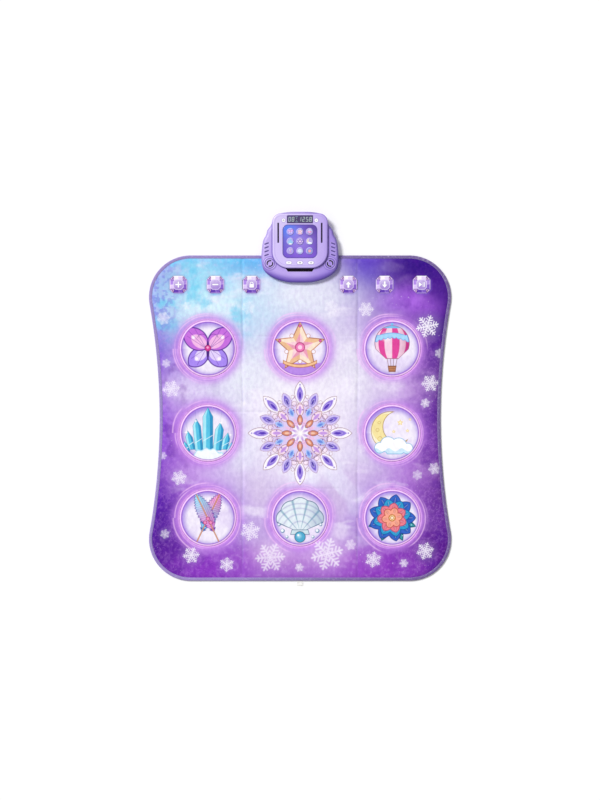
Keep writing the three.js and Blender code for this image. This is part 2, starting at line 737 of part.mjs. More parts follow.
function bottomShell() {
  const behindMat = (bottom, top, start) =>
    box(-CONSOLE_WIDTH, CONSOLE_WIDTH, start, CONSOLE_BACK + OVERRUN, bottom, top);
  const rear = prism(tier, 0, partingZ).intersect(behindMat(-OVERRUN, partingZ, CLEARANCE));
  const outer = join(rear, prism(tier, floorZ, partingZ));
  const inside = inset(tier, WALL);
  const frontRoom = prism(inside, floorZ + FLOOR_WALL, partingZ + OVERRUN);
  const rearRoom = prism(inside, WALL, partingZ + OVERRUN).intersect(
    behindMat(-OVERRUN, partingZ + OVERRUN, CLEARANCE + WALL),
  );
  const bayShell = box(
    -bayHalfX - BAY_WALL,
    bayHalfX + BAY_WALL,
    BAY_Y - bayHalfY - BAY_WALL,
    BAY_Y + bayHalfY + BAY_WALL,
    0,
    bayTop + BAY_WALL,
  );
  const bayRoom = box(-bayHalfX, bayHalfX, BAY_Y - bayHalfY, BAY_Y + bayHalfY, -OVERRUN, bayTop);
  const doorRoom = box(
    -doorHalfX - CLEARANCE,
    doorHalfX + CLEARANCE,
    doorFrontY - CLEARANCE,
    doorBackY + CLEARANCE,
    -OVERRUN,
    doorTop,
  );
  const doorBoss = cylinder(0, doorScrewY, BOSS_RADIUS, doorTop, floorZ + FLOOR_WALL);
  const doorScrewHole = cylinder(0, doorScrewY, SCREW_HOLE_RADIUS, doorTop - OVERRUN, floorZ);
  const bosses = [-1, 1].map((side) =>
    cylinder(side * CLAMP_SCREW_X, clampScrewY, BOSS_RADIUS, clampTop + CLEARANCE, floorZ + FLOOR_WALL),
  );
  const bossHoles = [-1, 1].map((side) =>
    cylinder(side * CLAMP_SCREW_X, clampScrewY, SCREW_HOLE_RADIUS, 0, floorZ + FLOOR_WALL + OVERRUN),
  );
  const shell = join(cut(outer, frontRoom, rearRoom), bayShell, doorBoss, ...bosses);
  return cut(
    shell,
    bayRoom,
    doorRoom,
    doorScrewHole,
    ribbonSlot(floorZ - OVERRUN, floorZ + FLOOR_WALL + OVERRUN),
    ...bossHoles,
  );
}

function clampPlate() {
  const plate = prism(inset(clampPocket, CLEARANCE), 0, clampTop);
  const holes = [-1, 1].flatMap((side) => [
    cylinder(side * CLAMP_SCREW_X, clampScrewY, SCREW_HOLE_RADIUS, -OVERRUN, clampTop + OVERRUN),
    cylinder(
      side * CLAMP_SCREW_X,
      clampScrewY,
      SCREW_HEAD_RADIUS + CLEARANCE,
      -OVERRUN,
      SCREW_HEAD_HEIGHT + CLEARANCE,
    ),
  ]);
  return cut(plate, ...holes);
}

function screw(x, y, headBottom, headHeight, tip) {
  return join(
    cylinder(x, y, SCREW_HEAD_RADIUS, headBottom, headBottom + headHeight, SCREW_SEGMENTS),
    cylinder(x, y, SCREW_RADIUS, headBottom, tip, SCREW_SEGMENTS),
  );
}

function topShell() {
  const sides = [-1, 1];
  const portAt = (side, inner, outer, bottom, top) =>
    cut(
      cylinder(side * PORT_X, -PORT_Y, outer, bottom, top),
      cylinder(side * PORT_X, -PORT_Y, inner, bottom - OVERRUN, top + OVERRUN),
    );
  const portTop = roofZ + PORT_RISE;
  const deckSeat = prism(inset(deck, -CLEARANCE), roofZ, portTop + OVERRUN);
  const portDiscs = sides.map((side) => {
    const start = partingZ + TIER_RISE / 2;
    return cut(cylinder(side * PORT_X, -PORT_Y, PORT_RADIUS, start, portTop), deckSeat);
  });
  const standoffs = sides.flatMap((side) =>
    [STANDOFF_BACK_Y, STANDOFF_FRONT_Y].map((y) =>
      cylinder(side * STANDOFF_X, y, STANDOFF_RADIUS, roofUnder, boardZ),
    ),
  );
  const body = join(tierBody(0, 0), ...portDiscs);
  const cavity = join(tierBody(WALL, WALL), prism(inset(tier, WALL), partingZ - OVERRUN, partingZ));
  const grooves = sides.map((side) =>
    portAt(side, PORT_GROOVE_INNER, PORT_GROOVE_OUTER, portTop - PORT_GROOVE_DEPTH, portTop + OVERRUN),
  );
  const arcSweep = THREE.MathUtils.degToRad(PORT_ARC_DEGREES);
  const portSlots = sides.flatMap((side) =>
    [0, Math.PI].map((half) =>
      ringSector(
        side * PORT_X,
        -PORT_Y,
        PORT_SLOT_INNER,
        PORT_SLOT_OUTER,
        half + (side * Math.PI) / 4,
        arcSweep,
        roofUnder - OVERRUN,
        portTop + OVERRUN,
      ),
    ),
  );
  const vents = sides.flatMap((side) =>
    Array.from({ length: VENT_COUNT }, (_, i) => {
      const centre = new THREE.Vector2(side * VENT_X, VENT_BACK_Y - i * VENT_PITCH);
      const tilt = -side * THREE.MathUtils.degToRad(VENT_TILT_DEGREES);
      const bar = stadium(centre.x, centre.y, VENT_LENGTH, VENT_WIDTH, VENT_STEPS);
      const turned = bar.map((p) => p.rotateAround(centre, tilt));
      return prism(turned, roofZ - VENT_DEPTH, roofZ + OVERRUN);
    }),
  );
  const slotHalf = FRONT_SLOT_WIDTH / 2;
  const slotFront = -DECK_FRONT - FRONT_SLOT_REACH;
  const slotBack = -DECK_FRONT + FRONT_SLOT_DEPTH;
  const frontSlot = prism(
    [
      new THREE.Vector2(-slotHalf, slotFront),
      new THREE.Vector2(slotHalf, slotFront),
      new THREE.Vector2(slotHalf + FRONT_SLOT_SPREAD, slotBack),
      new THREE.Vector2(-slotHalf - FRONT_SLOT_SPREAD, slotBack),
    ],
    roofUnder - OVERRUN,
    roofZ + OVERRUN,
  );
  const wiringHole = box(
    -ICON_WIDTH / 2,
    ICON_WIDTH / 2,
    ICON_Y - ICON_LENGTH / 2,
    ICON_Y + ICON_LENGTH / 2,
    roofUnder - OVERRUN,
    roofZ + OVERRUN,
  );
  const hollow = cut(body, cavity, frontSlot, wiringHole, ...grooves, ...portSlots, ...vents);
  const collars = sides.map((side) => {
    const inner = PORT_SLOT_OUTER + CLEARANCE;
    return portAt(side, inner, inner + COLLAR_WALL, speakerTop + CLEARANCE, roofUnder + WALL / 2);
  });
  return join(hollow, ...standoffs, ...collars);
}

// A window's outline, made smaller by shrink. Its corners stay round however far it shrinks.
const windowOutline = (width, length, y, radius) => (shrink) => {
  const corner = Math.max(radius - shrink, radius * LEAST_CORNER_SHARE);
  const halfX = width / 2 - shrink;
  const halfY = length / 2 - shrink;
  return roundedRectangle(-halfX, halfX, y - halfY, y + halfY, corner, corner, WINDOW_STEPS);
};
const iconOutline = windowOutline(ICON_WIDTH, ICON_LENGTH, ICON_Y, ICON_RADIUS);
const displayOutline = windowOutline(DISPLAY_WIDTH, DISPLAY_LENGTH, DISPLAY_Y, DISPLAY_RADIUS);
const windowTop = deckTop + WINDOW_PROUD;
const windowBottom = windowTop - WINDOW_THICKNESS;

const roundButtons = [
  { name: "power_button", x: -ROUND_BUTTON_X },
  { name: "mode_button", x: ROUND_BUTTON_X },
].map((b) => ({
  ...b,
  outline: (grow) => circle(b.x, ROUND_BUTTON_Y, ROUND_BUTTON_RADIUS + grow, ROUND_SEGMENTS),
}));
const ovalButtons = [
  { name: "volume_down_button", x: -OVAL_BUTTON_X },
  { name: "song_button", x: 0 },
  { name: "volume_up_button", x: OVAL_BUTTON_X },
].map((b) => ({
  ...b,
  outline: (grow) =>
    stadium(b.x, -OVAL_BUTTON_Y, OVAL_BUTTON_WIDTH + 2 * grow, OVAL_BUTTON_LENGTH + 2 * grow),
}));
const buttons = [...roundButtons, ...ovalButtons];

// The deck's rounded edge, as shares of the round and of the rise.
const deckProfileShares = [
  [0, 0],
  [0, 0.62],
  [0.2, 0.86],
  [1, 1],
];

function deckCover() {
  const body = (wall, drop) =>
    loft(
      deckProfileShares.map(([round, rise]) => ({
        points: inset(deck, wall + round * DECK_ROUND),
        z: roofZ + rise * (DECK_RISE - drop),
      })),
    );
  const cavity = join(body(WALL, WALL), prism(inset(deck, WALL), roofZ - OVERRUN, roofZ));
  const through = [deckUnder - OVERRUN, deckTop + OVERRUN];
  const pockets = [iconOutline, displayOutline].flatMap((outline) => [
    prism(outline(WINDOW_LEDGE), ...through),
    prism(outline(-CLEARANCE), windowBottom, deckTop + OVERRUN),
  ]);
  const sideSlots = [-1, 1].map((side) =>
    box(
      side * SIDE_SLOT_X - SIDE_SLOT_WIDTH / 2,
      side * SIDE_SLOT_X + SIDE_SLOT_WIDTH / 2,
      SIDE_SLOT_FRONT_Y,
      SIDE_SLOT_FRONT_Y + SIDE_SLOT_LENGTH,
      ...through,
    ),
  );
  const buttonHoles = buttons.map((b) => prism(b.outline(CLEARANCE), ...through));
  return cut(body(0, 0), cavity, ...pockets, ...sideSlots, ...buttonHoles);
}

function button({ outline }) {
  const flangeTop = deckUnder - CLEARANCE;
  const capTop = deckTop + BUTTON_PROUD;
  const cap = loft([
    { points: outline(0), z: flangeTop - FLANGE_THICKNESS },
    { points: outline(0), z: capTop - BUTTON_PROUD / 2 },
    { points: outline(-BUTTON_PROUD), z: capTop },
  ]);
  return join(cap, prism(outline(BUTTON_FLANGE), flangeTop - FLANGE_THICKNESS, flangeTop));
}

function keypadStrip() {
  const strip = stadium(0, -OVAL_BUTTON_Y, KEYPAD_WIDTH, KEYPAD_LENGTH);
  return prism(strip, boardTop, boardTop + KEYPAD_THICKNESS);
}

function controlBoard() {
  const board = prism(inset(deck, BOARD_INSET), boardZ, boardTop);
  const ledTop = boardTop + LED_HEIGHT;
  const leds = [-1, 0, 1].flatMap((row) =>
    [-1, 0, 1].map((column) => {
      const y = ICON_Y + row * LED_PITCH;
      return cylinder(column * LED_PITCH, y, LED_RADIUS, boardZ, ledTop, SMALL_SEGMENTS);
    }),
  );
  const switches = roundButtons.map(({ x }) =>
    box(
      x - SWITCH_SIZE / 2,
      x + SWITCH_SIZE / 2,
      ROUND_BUTTON_Y - SWITCH_SIZE / 2,
      ROUND_BUTTON_Y + SWITCH_SIZE / 2,
      boardZ,
      boardTop + SWITCH_HEIGHT,
    ),
  );
  return join(board, ...leds, ...switches);
}

function displayModule() {
  return prism(displayOutline(CLEARANCE), boardTop + CLEARANCE, boardTop + CLEARANCE + MODULE_HEIGHT);
}

function speaker(side) {
  const bottom = floorZ + FLOOR_WALL + CLEARANCE;
  const ring = (radius, z) => ({ points: circle(side * PORT_X, -PORT_Y, radius, ROUND_SEGMENTS), z });
  return loft([
    ring(MAGNET_RADIUS, bottom),
    ring(MAGNET_RADIUS, bottom + MAGNET_HEIGHT),
    ring(SPEAKER_RADIUS, speakerTop - SPEAKER_RIM),
    ring(SPEAKER_RADIUS, speakerTop),
  ]);
}

const ampZ = bayTop + BAY_WALL + CLEARANCE;
const ampTop = ampZ + BOARD_THICKNESS;
const ampFrontY = BAY_Y - AMP_LENGTH / 2;

function amplifierBoard() {
  const halfX = AMP_WIDTH / 2;
  const board = box(-halfX, halfX, ampFrontY, ampFrontY + AMP_LENGTH, ampZ, ampTop);
  const chip = box(
    -CHIP_WIDTH / 2,
    CHIP_WIDTH / 2,
    BAY_Y - CHIP_LENGTH / 2,
    BAY_Y + CHIP_LENGTH / 2,
    ampZ,
    ampTop + CHIP_HEIGHT,
  );
  const capacitors = [-1, 1].map((side) => {
    const x = side * AMP_WIDTH * CAPACITOR_SHARE;
    return cylinder(x, BAY_Y, CAPACITOR_RADIUS, ampZ, ampTop + CAPACITOR_HEIGHT, SMALL_SEGMENTS);
  });
  return join(board, chip, ...capacitors);
}

// The mat's flat ribbon: a foot on the upper film, up through the cover and the console's floor,
// then back to lie over the front edge of the amplifier board.
function ribbonTail() {
  const half = RIBBON_WIDTH / 2;
  const runTop = ampTop + CLEARANCE + RIBBON_THICKNESS;
  const riseFront = -RIBBON_Y;
  const riseBack = riseFront + RIBBON_THICKNESS;
  return join(
    box(-half, half, riseFront - RIBBON_FOOT, riseBack, coverZ, coverZ + RIBBON_THICKNESS),
    box(-half, half, riseFront, riseBack, coverZ, runTop),
    box(-half, half, riseFront, ampFrontY + RIBBON_LAP, runTop - RIBBON_THICKNESS, runTop),
  );
}

function batteryDoor() {
  const plate = box(-doorHalfX, doorHalfX, doorFrontY, doorBackY, CLEARANCE, doorTop - CLEARANCE / 2);
  const hole = cylinder(0, doorScrewY, SCREW_HOLE_RADIUS, -OVERRUN, doorTop + OVERRUN);
  const headRoom = CLEARANCE + DOOR_SCREW_HEAD_HEIGHT;
  return cut(plate, hole, cylinder(0, doorScrewY, SCREW_HEAD_RADIUS + CLEARANCE, -OVERRUN, headRoom));
}

function batteryCell(i) {
  const y = BAY_Y + (i - (CELL_COUNT - 1) / 2) * CELL_PITCH;
  const facing = i % 2 === 0 ? 1 : -1;
  const body = cylinder(0, 0, CELL_RADIUS, -CELL_LENGTH / 2, CELL_LENGTH / 2 - CELL_TIP_LENGTH);
  const tip = cylinder(0, 0, CELL_TIP_RADIUS, 0, CELL_LENGTH / 2);
  return join(body, tip).rotate([0, facing * 90, 0]).translate([0, y, cellZ]);
}

// Assembly. The mat's group has its back edge at y = 0 and is moved so that the whole object
// is centred on the origin.
const danceMat = new THREE.Group();
danceMat.name = "dance_mat";
const mat = new THREE.Group();
const consoleUnit = new THREE.Group();
mat.position.y = matBackY;
consoleUnit.position.y = matBackY;
danceMat.add(mat, consoleUnit);

function place(group, name, solid, material) {
  const mesh = new THREE.Mesh(geometryOf(solid), material);
  mesh.name = name;
  group.add(mesh);
}

for (const panel of panels) {
  const lower = { zones: false, clamp: true };
  const spacer = { zones: true, clamp: true };
  const upper = { zones: true, clamp: false };
  const tapeInset = TAPE_WIDTH + CLEARANCE;
  const backingZ = stackBase - BACKING_THICKNESS;
  place(mat, `backing_${panel}`, flatLayer(panel, tapeInset, backingZ, stackBase, lower), backingFabric);
  place(mat, `lower_film_${panel}`, flatLayer(panel, layerInset, stackBase, spacerZ, lower), film);
  place(mat, `spacer_${panel}`, flatLayer(panel, layerInset, spacerZ, upperFilmZ, spacer), foam);
  place(mat, `upper_film_${panel}`, flatLayer(panel, layerInset, upperFilmZ, coverZ, upper), film);
  place(mat, `cover_${panel}`, cover(panel), printedFabric);
}
place(mat, "binding_left", binding("left"), tapeFabric);
place(mat, "binding_right", binding("right"), tapeFabric);
place(mat, "binding_front", bindingEnd(true), tapeFabric);
place(mat, "binding_back", bindingEnd(false), tapeFabric);
for (const pad of pads) place(mat, pad.name, stepPad(pad), padFabric);
for (const key of keys) place(mat, key.name, touchKey(key), padFabric);
place(mat, "care_label", careLabel(), labelFabric);

place(consoleUnit, "console_bottom_shell", bottomShell(), lavender);
place(consoleUnit, "mat_clamp_plate", clampPlate(), lavender);
place(consoleUnit, "console_top_shell", topShell(), lavender);
place(consoleUnit, "deck_cover", deckCover(), paleLavender);
for (const [name, side] of [["left", -1], ["right", 1]]) {
  const clampScrew = screw(
    side * CLAMP_SCREW_X,
    clampScrewY,
    CLEARANCE,
    SCREW_HEAD_HEIGHT - CLEARANCE,
    floorZ,
  );
  place(consoleUnit, `clamp_screw_${name}`, clampScrew, steel);
  place(consoleUnit, `speaker_${name}`, speaker(side), blackPlastic);
}
place(consoleUnit, "display_window", prism(displayOutline(0), windowBottom, windowTop), darkGlass);
place(consoleUnit, "icon_window", prism(iconOutline(0), windowBottom, windowTop), iconGlass);
place(consoleUnit, "display_module", displayModule(), blackPlastic);
place(consoleUnit, "control_board", controlBoard(), circuitBoard);
place(consoleUnit, "amplifier_board", amplifierBoard(), circuitBoard);
for (const b of buttons) place(consoleUnit, b.name, button(b), whitePlastic);
place(consoleUnit, "keypad_strip", keypadStrip(), rubber);
place(consoleUnit, "battery_door", batteryDoor(), lavender);
const doorScrew = screw(0, doorScrewY, CLEARANCE, DOOR_SCREW_HEAD_HEIGHT - CLEARANCE / 2, floorZ - CLEARANCE);
place(consoleUnit, "battery_door_screw", doorScrew, steel);
for (let i = 0; i < CELL_COUNT; i++) {
  place(consoleUnit, `battery_cell_${i + 1}`, batteryCell(i), cellJacket);
}
place(consoleUnit, "ribbon_tail", ribbonTail(), film);

export default danceMat;
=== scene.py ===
"""Looks of an electronic dance mat, built in Blender round its packed CAD part.

Lengths in this file are millimetres, and meshes are written in metres. X runs across the mat, Y
from its front edge to the console at its back, and Z up from the floor.
"""

import bpy
import numpy as np
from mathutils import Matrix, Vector


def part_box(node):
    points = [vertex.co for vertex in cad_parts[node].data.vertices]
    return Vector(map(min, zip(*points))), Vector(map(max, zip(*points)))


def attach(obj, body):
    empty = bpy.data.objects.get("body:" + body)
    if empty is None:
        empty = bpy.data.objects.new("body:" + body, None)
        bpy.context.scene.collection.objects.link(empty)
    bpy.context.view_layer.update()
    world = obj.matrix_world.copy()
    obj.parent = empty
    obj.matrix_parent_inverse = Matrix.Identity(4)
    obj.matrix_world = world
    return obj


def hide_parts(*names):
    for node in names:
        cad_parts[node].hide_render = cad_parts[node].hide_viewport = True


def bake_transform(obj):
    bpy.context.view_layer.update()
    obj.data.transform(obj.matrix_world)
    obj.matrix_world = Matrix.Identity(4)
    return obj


bl_info = {
    "name": "Dance mat looks",
    "version": (1, 0, 0),
    "blender": (4, 5, 0),
    "location": "View3D > Sidebar > Dance mat",
    "description": "Cloth, printed pads, keys and console of an electronic dance mat",
    "category": "Object",
}

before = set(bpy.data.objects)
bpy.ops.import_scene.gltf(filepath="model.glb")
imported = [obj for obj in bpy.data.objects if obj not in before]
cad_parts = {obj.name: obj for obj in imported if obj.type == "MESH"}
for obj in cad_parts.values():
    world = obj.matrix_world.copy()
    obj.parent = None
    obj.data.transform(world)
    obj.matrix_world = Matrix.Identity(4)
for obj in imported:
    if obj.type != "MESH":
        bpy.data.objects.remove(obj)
MM = 0.001


def low(node, axis):
    """Lowest place of a CAD node along an axis (0, 1 or 2), in millimetres."""
    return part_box(node)[0][axis] / MM


def high(node, axis):
    """Highest place of a CAD node along an axis, in millimetres."""
    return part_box(node)[1][axis] / MM


def middle(node):
    """Middle of a CAD node in plan, in millimetres."""
    return (low(node, 0) + high(node, 0)) / 2, (low(node, 1) + high(node, 1)) / 2


# The mat in plan.
MAT_WIDTH = 850
CORNER_RADIUS = 117
SIDE_LEAN = np.radians(10)
BACK_EDGE = high("binding_back", 1)
FRONT_EDGE = low("binding_front", 1)
MIDDLE_Y = (BACK_EDGE + FRONT_EDGE) / 2
HALF_LENGTH = (BACK_EDGE - FRONT_EDGE) / 2
CORNER_X = MAT_WIDTH / 2 - CORNER_RADIUS
CORNER_Y = HALF_LENGTH - CORNER_RADIUS
SIDE_X = CORNER_X + CORNER_RADIUS * np.cos(SIDE_LEAN)
SIDE_Y = CORNER_Y - CORNER_RADIUS * np.sin(SIDE_LEAN)
BOW_X = SIDE_X - SIDE_Y * np.tan(SIDE_LEAN)
TAPE_WIDTH = 9
FOLD_LINE = 162
STRIP_IN = 160.9
STRIP_OUT = 171.1
LAYER_OVERLAP = 0.3

# The mat's layers.
BACKING_TOP = high("backing_middle", 2)
COVER_LOW = 4.0
COVER_LIP = 5.6
COVER_TOP = high("cover_middle", 2)
TAPE_TOP = high("binding_back", 2)
PACKING_CREASES = (176, -38, -254)

# Pads and keys.
PAD_RADIUS = 80.2
PAD_SHOULDER = 7.2
PAD_TUCK = 1.1
PAD_TOP = high("step_pad_centre_middle", 2)
HOLE_GAP = 0.4
KEY_HALF = 24.5
KEY_CUT = 11
KEY_TABLE_HALF = 14.5
KEY_EDGE = 7.8
KEY_TOP = high("touch_key_lock", 2)
SOFT_LOW = low("step_pad_centre_middle", 2)
ROWS = ("front", "centre", "back")
COLUMNS = ("left", "middle", "right")
PANELS = {"left": "left_panel", "middle": "middle_panel", "right": "right_panel"}

# The console.
TIER_X = high("console_top_shell", 0)
TIER_FRONT = low("console_top_shell", 1)
TIER_BACK = high("console_top_shell", 1)
TIER_LOW = low("console_top_shell", 2)
ROOF_Z = 27.1
DECK_X = high("deck_cover", 0)
DECK_FRONT = low("deck_cover", 1)
DECK_BACK = high("deck_cover", 1)
DECK_TOP = high("deck_cover", 2)
DECK_FRONT_RADIUS = 46
DECK_BACK_RADIUS = 25
WINDOW_TOP = high("display_window", 2)
FIT_GAP = 0.3
LIGHT_PITCH = 27


# Sizes and colours that a user can change.


def tone(colour):
    """A colour written as #rrggbb, as three linear values."""
    parts = np.array([int(colour[i : i + 2], 16) for i in (1, 3, 5)]) / 255
    return np.where(parts <= 0.04045, parts / 12.92, ((parts + 0.055) / 1.055) ** 2.4)


def length_property(name, description, default, least=0):
    """A length that a user can change, with its default and its least value in millimetres."""
    return bpy.props.FloatProperty(
        name=name, description=description, default=default * MM, min=least * MM,
        subtype="DISTANCE", unit="LENGTH",
    )


def colour_property(name, description, default):
    """A colour that a user can change, with its default written as #rrggbb."""
    return bpy.props.FloatVectorProperty(
        name=name, description=description, default=tone(default), size=3, min=0, max=1, subtype="COLOR"
    )


class DANCEMAT_PG_cloth(bpy.types.PropertyGroup):
    """The mat's cloth"""

    crown_run: length_property("Crown Run", "Width over which the cover rises from its tape", 14, 1)
    fold_depth: length_property("Fold Depth", "Depth of the valley in the cover along each fold line", 1.9)
    fold_spread: length_property("Fold Spread", "Half width of the valley along each fold line", 4.2, 1)
    crease_depth: length_property("Crease Depth", "Depth of the creases left by packing", 0.8)
    pad_round: length_property("Pad Rounding", "Width over which a step pad's edge rounds down", 9, 1)
    stitch_pitch: length_property("Stitch Pitch", "Distance between the binding tape's stitches", 3.2, 2.5)
    nap_size: length_property("Nap Size", "Width of the plush's tufts", 0.9, 0.1)
    cover_colour: colour_property("Cover", "Colour of the cover under its printed patches", "#b48cdf")
    pad_colour: colour_property("Pads", "Colour of a step pad behind its motif", "#f2ebf9")
    glow_colour: colour_property("Glow", "Colour of the painted glow round each step pad", "#c184e6")
    tape_colour: colour_property("Tape", "Colour of the binding tape", "#a08dcb")
    backing_colour: colour_property("Backing", "Colour of the backing cloth", "#4d4759")


class DANCEMAT_PG_console(bpy.types.PropertyGroup):
    """The console's shell"""

    tier_round: length_property("Tier Rounding", "Width over which the lower tier's edge rounds up", 11, 1)
    deck_round: length_property("Deck Rounding", "Width over which the deck's edge rounds up", 5, 1)
    port_rise: length_property("Port Rise", "Height of the sound ports above the tier", 1)
    groove_depth: length_property("Groove Depth", "Depth of the ring groove in each sound port", 0.8)
    vent_depth: length_property("Vent Depth", "Depth of the slanted vents", 1.2)
    tier_colour: colour_property("Tier", "Colour of the lower tier", "#b69fe6")
    deck_colour: colour_property("Deck", "Colour of the raised deck", "#cdbdf1")
    button_colour: colour_property("Buttons", "Colour of the console's buttons", "#f7f5fc")


class DANCEMAT_PG_stage(bpy.types.PropertyGroup):
    """The studio"""

    view_width: length_property("View Width", "Width that the camera sees at the floor", 1688.8, 100)
    camera_height: length_property("Camera Height", "Height of the camera above the floor", 9000, 1000)
    sun_strength: bpy.props.FloatProperty(
        name="Sun Strength", description="Strength of the key light", default=2.6, min=0
    )
    sun_softness: bpy.props.FloatProperty(
        name="Sun Softness", description="Angle that the key light fills in the sky",
        default=np.radians(16), min=0, max=np.pi, subtype="ANGLE", unit="ROTATION",
    )
    sky_strength: bpy.props.FloatProperty(
        name="Sky Strength", description="Strength of the light from all round", default=0.48, min=0
    )


SETTINGS = {"cloth": DANCEMAT_PG_cloth, "console": DANCEMAT_PG_console, "stage": DANCEMAT_PG_stage}


def size_of(group, name):
    """A length that a user can change, in millimetres."""
    return getattr(getattr(bpy.context.scene, "dancemat_" + group), name) / MM


def colour_of(group, name):
    """A colour that a user can change, as three linear values."""
    return np.array(getattr(getattr(bpy.context.scene, "dancemat_" + group), name))


def smooth(value, start, end):
    """Smoothstep: 0 at start, 1 at end, level at both."""
    t = np.clip((value - start) / (end - start), 0, 1)
    return t * t * (3 - 2 * t)


def bell(offset, width):
    """Bell curve: e to the power of minus the square of offset over width."""
    return np.exp(-((offset / width) ** 2))


def noise(x, y, size, seed):
    """Value noise: random numbers on a square lattice, joined by a smoothstep between its corners."""
    table = np.random.default_rng(seed).random((256, 256))
    u, v = x / size, y / size
    column, row = np.floor(u).astype(int), np.floor(v).astype(int)
    a, b = smooth(u - column, 0, 1), smooth(v - row, 0, 1)
    column, row, right, up = column & 255, row & 255, (column + 1) & 255, (row + 1) & 255
    near = table[row, column] * (1 - a) + table[row, right] * a
    far = table[up, column] * (1 - a) + table[up, right] * a
    return near * (1 - b) + far * b


def clouds(x, y, size, seed, layers=4):
    """Layers of value noise, each half as wide and half as strong as the one before, about 0 to 1."""
    total = sum(noise(x, y, size / 2**i, seed + i) / 2**i for i in range(layers))
    return total / (2 - 2.0 ** (1 - layers))


# Surfaces.


def mat_inset(x, y):
    """Distance inwards from the mat's outer edge: straight front and back, round corners, and
    sides whose place follows a parabola from corner to corner."""
    across, along = np.abs(x), np.abs(y - MIDDLE_Y)
    right, up = across - CORNER_X, along - CORNER_Y
    bow = (1 - (along / SIDE_Y) ** 2) / 2
    slope = (SIDE_X - BOW_X) * along / SIDE_Y**2
    side = (SIDE_X * (1 - bow) + BOW_X * bow - across) / np.sqrt(1 + slope**2)
    corner = CORNER_RADIUS - np.hypot(right, up)
    flat = HALF_LENGTH - along
    in_corner = (right > 0) & (up > -np.tan(SIDE_LEAN) * right)
    return np.where(in_corner, corner, np.where(right > 0, side, np.minimum(flat, side)))


def cut_square(x, y, half, cut):
    """Distance outwards from a square of the given half width whose corners are cut by 45 degrees."""
    x, y = np.abs(x), np.abs(y)
    return np.maximum(np.maximum(x, y) - half, (x + y - 2 * half + cut) / np.sqrt(2))


def rounded_box(x, y, half_x, half_y, radius):
    """Distance outwards from a rectangle with round corners."""
    over_x, over_y = np.abs(x) - half_x + radius, np.abs(y) - half_y + radius
    outside = np.hypot(np.maximum(over_x, 0), np.maximum(over_y, 0))
    return outside + np.minimum(np.maximum(over_x, over_y), 0) - radius


def turned(x, y, angle):
    """Places seen from axes that are turned by an angle."""
    return x * np.cos(angle) + y * np.sin(angle), y * np.cos(angle) - x * np.sin(angle)


PADS = {f"{row}_{column}": middle(f"step_pad_{row}_{column}") for row in ROWS for column in COLUMNS}
KEYS = {key: middle(f"touch_key_{key}") for key in ("plus", "minus", "lock", "up", "down", "play")}


# A distance past any on the mat, in millimetres.
FAR = 1e3


def hole_distance(x, y):
    """Distance outwards from the nearest pad or key hole of the cover."""
    nearest = np.full(np.shape(x), FAR)
    for px, py in PADS.values():
        nearest = np.minimum(nearest, np.hypot(x - px, y - py) - PAD_RADIUS - HOLE_GAP)
    for kx, ky in KEYS.values():
        nearest = np.minimum(nearest, cut_square(x - kx, y - ky, KEY_HALF + HOLE_GAP, KEY_CUT))
    return nearest


def cover_height(x, y):
    """Top of the cover: a crown that rises from the tape over crown_run, a bell-shaped valley along
    each fold line, shallow bells at the packing creases, a dip round each pad and key, and noise for
    the slack of the plush."""
    inset = mat_inset(x, y) - TAPE_WIDTH
    crown = 1 - (1 - np.clip(inset / size_of("cloth", "crown_run"), 0, 1)) ** 2.3
    fold_x = FOLD_LINE + 1.2 * np.sin(y / 31) + 3 * (noise(x * 0, y, 46, 3) - 0.5)
    uneven = 0.45 + 0.55 * noise(np.sign(x), y, 52, 15)
    off_line = np.abs(x) - fold_x
    valley = size_of("cloth", "fold_depth") * uneven * bell(off_line, size_of("cloth", "fold_spread"))
    valley = valley + 0.5 * bell(off_line - 6, 9)
    packing = 0 * x
    for i, crease in enumerate(PACKING_CREASES):
        line = crease + 5 * (noise(x, y * 0, 90, 11 + i) - 0.5)
        part = smooth(noise(x, y * 0, 70, 17 + i), 0.25, 0.75)
        packing = packing + size_of("cloth", "crease_depth") * part * bell(y - line, 3.4)
    hem = 0.5 * np.exp(-np.maximum(inset, 0) / 16) * (clouds(x, y, 26, 5, 2) - 0.5) * 2
    slack = 0.9 * (clouds(x, y, 85, 7, 3) - 0.5) + 0.25 * (noise(x, y, 11, 9) - 0.5)
    seam = 0.9 * np.exp(-np.maximum(hole_distance(x, y), 0) / 2.5)
    top = COVER_LIP + (COVER_TOP - 0.3 - COVER_LIP) * crown
    return top - (valley + packing + seam) * np.minimum(crown + 0.35, 1) + (hem + slack) * crown


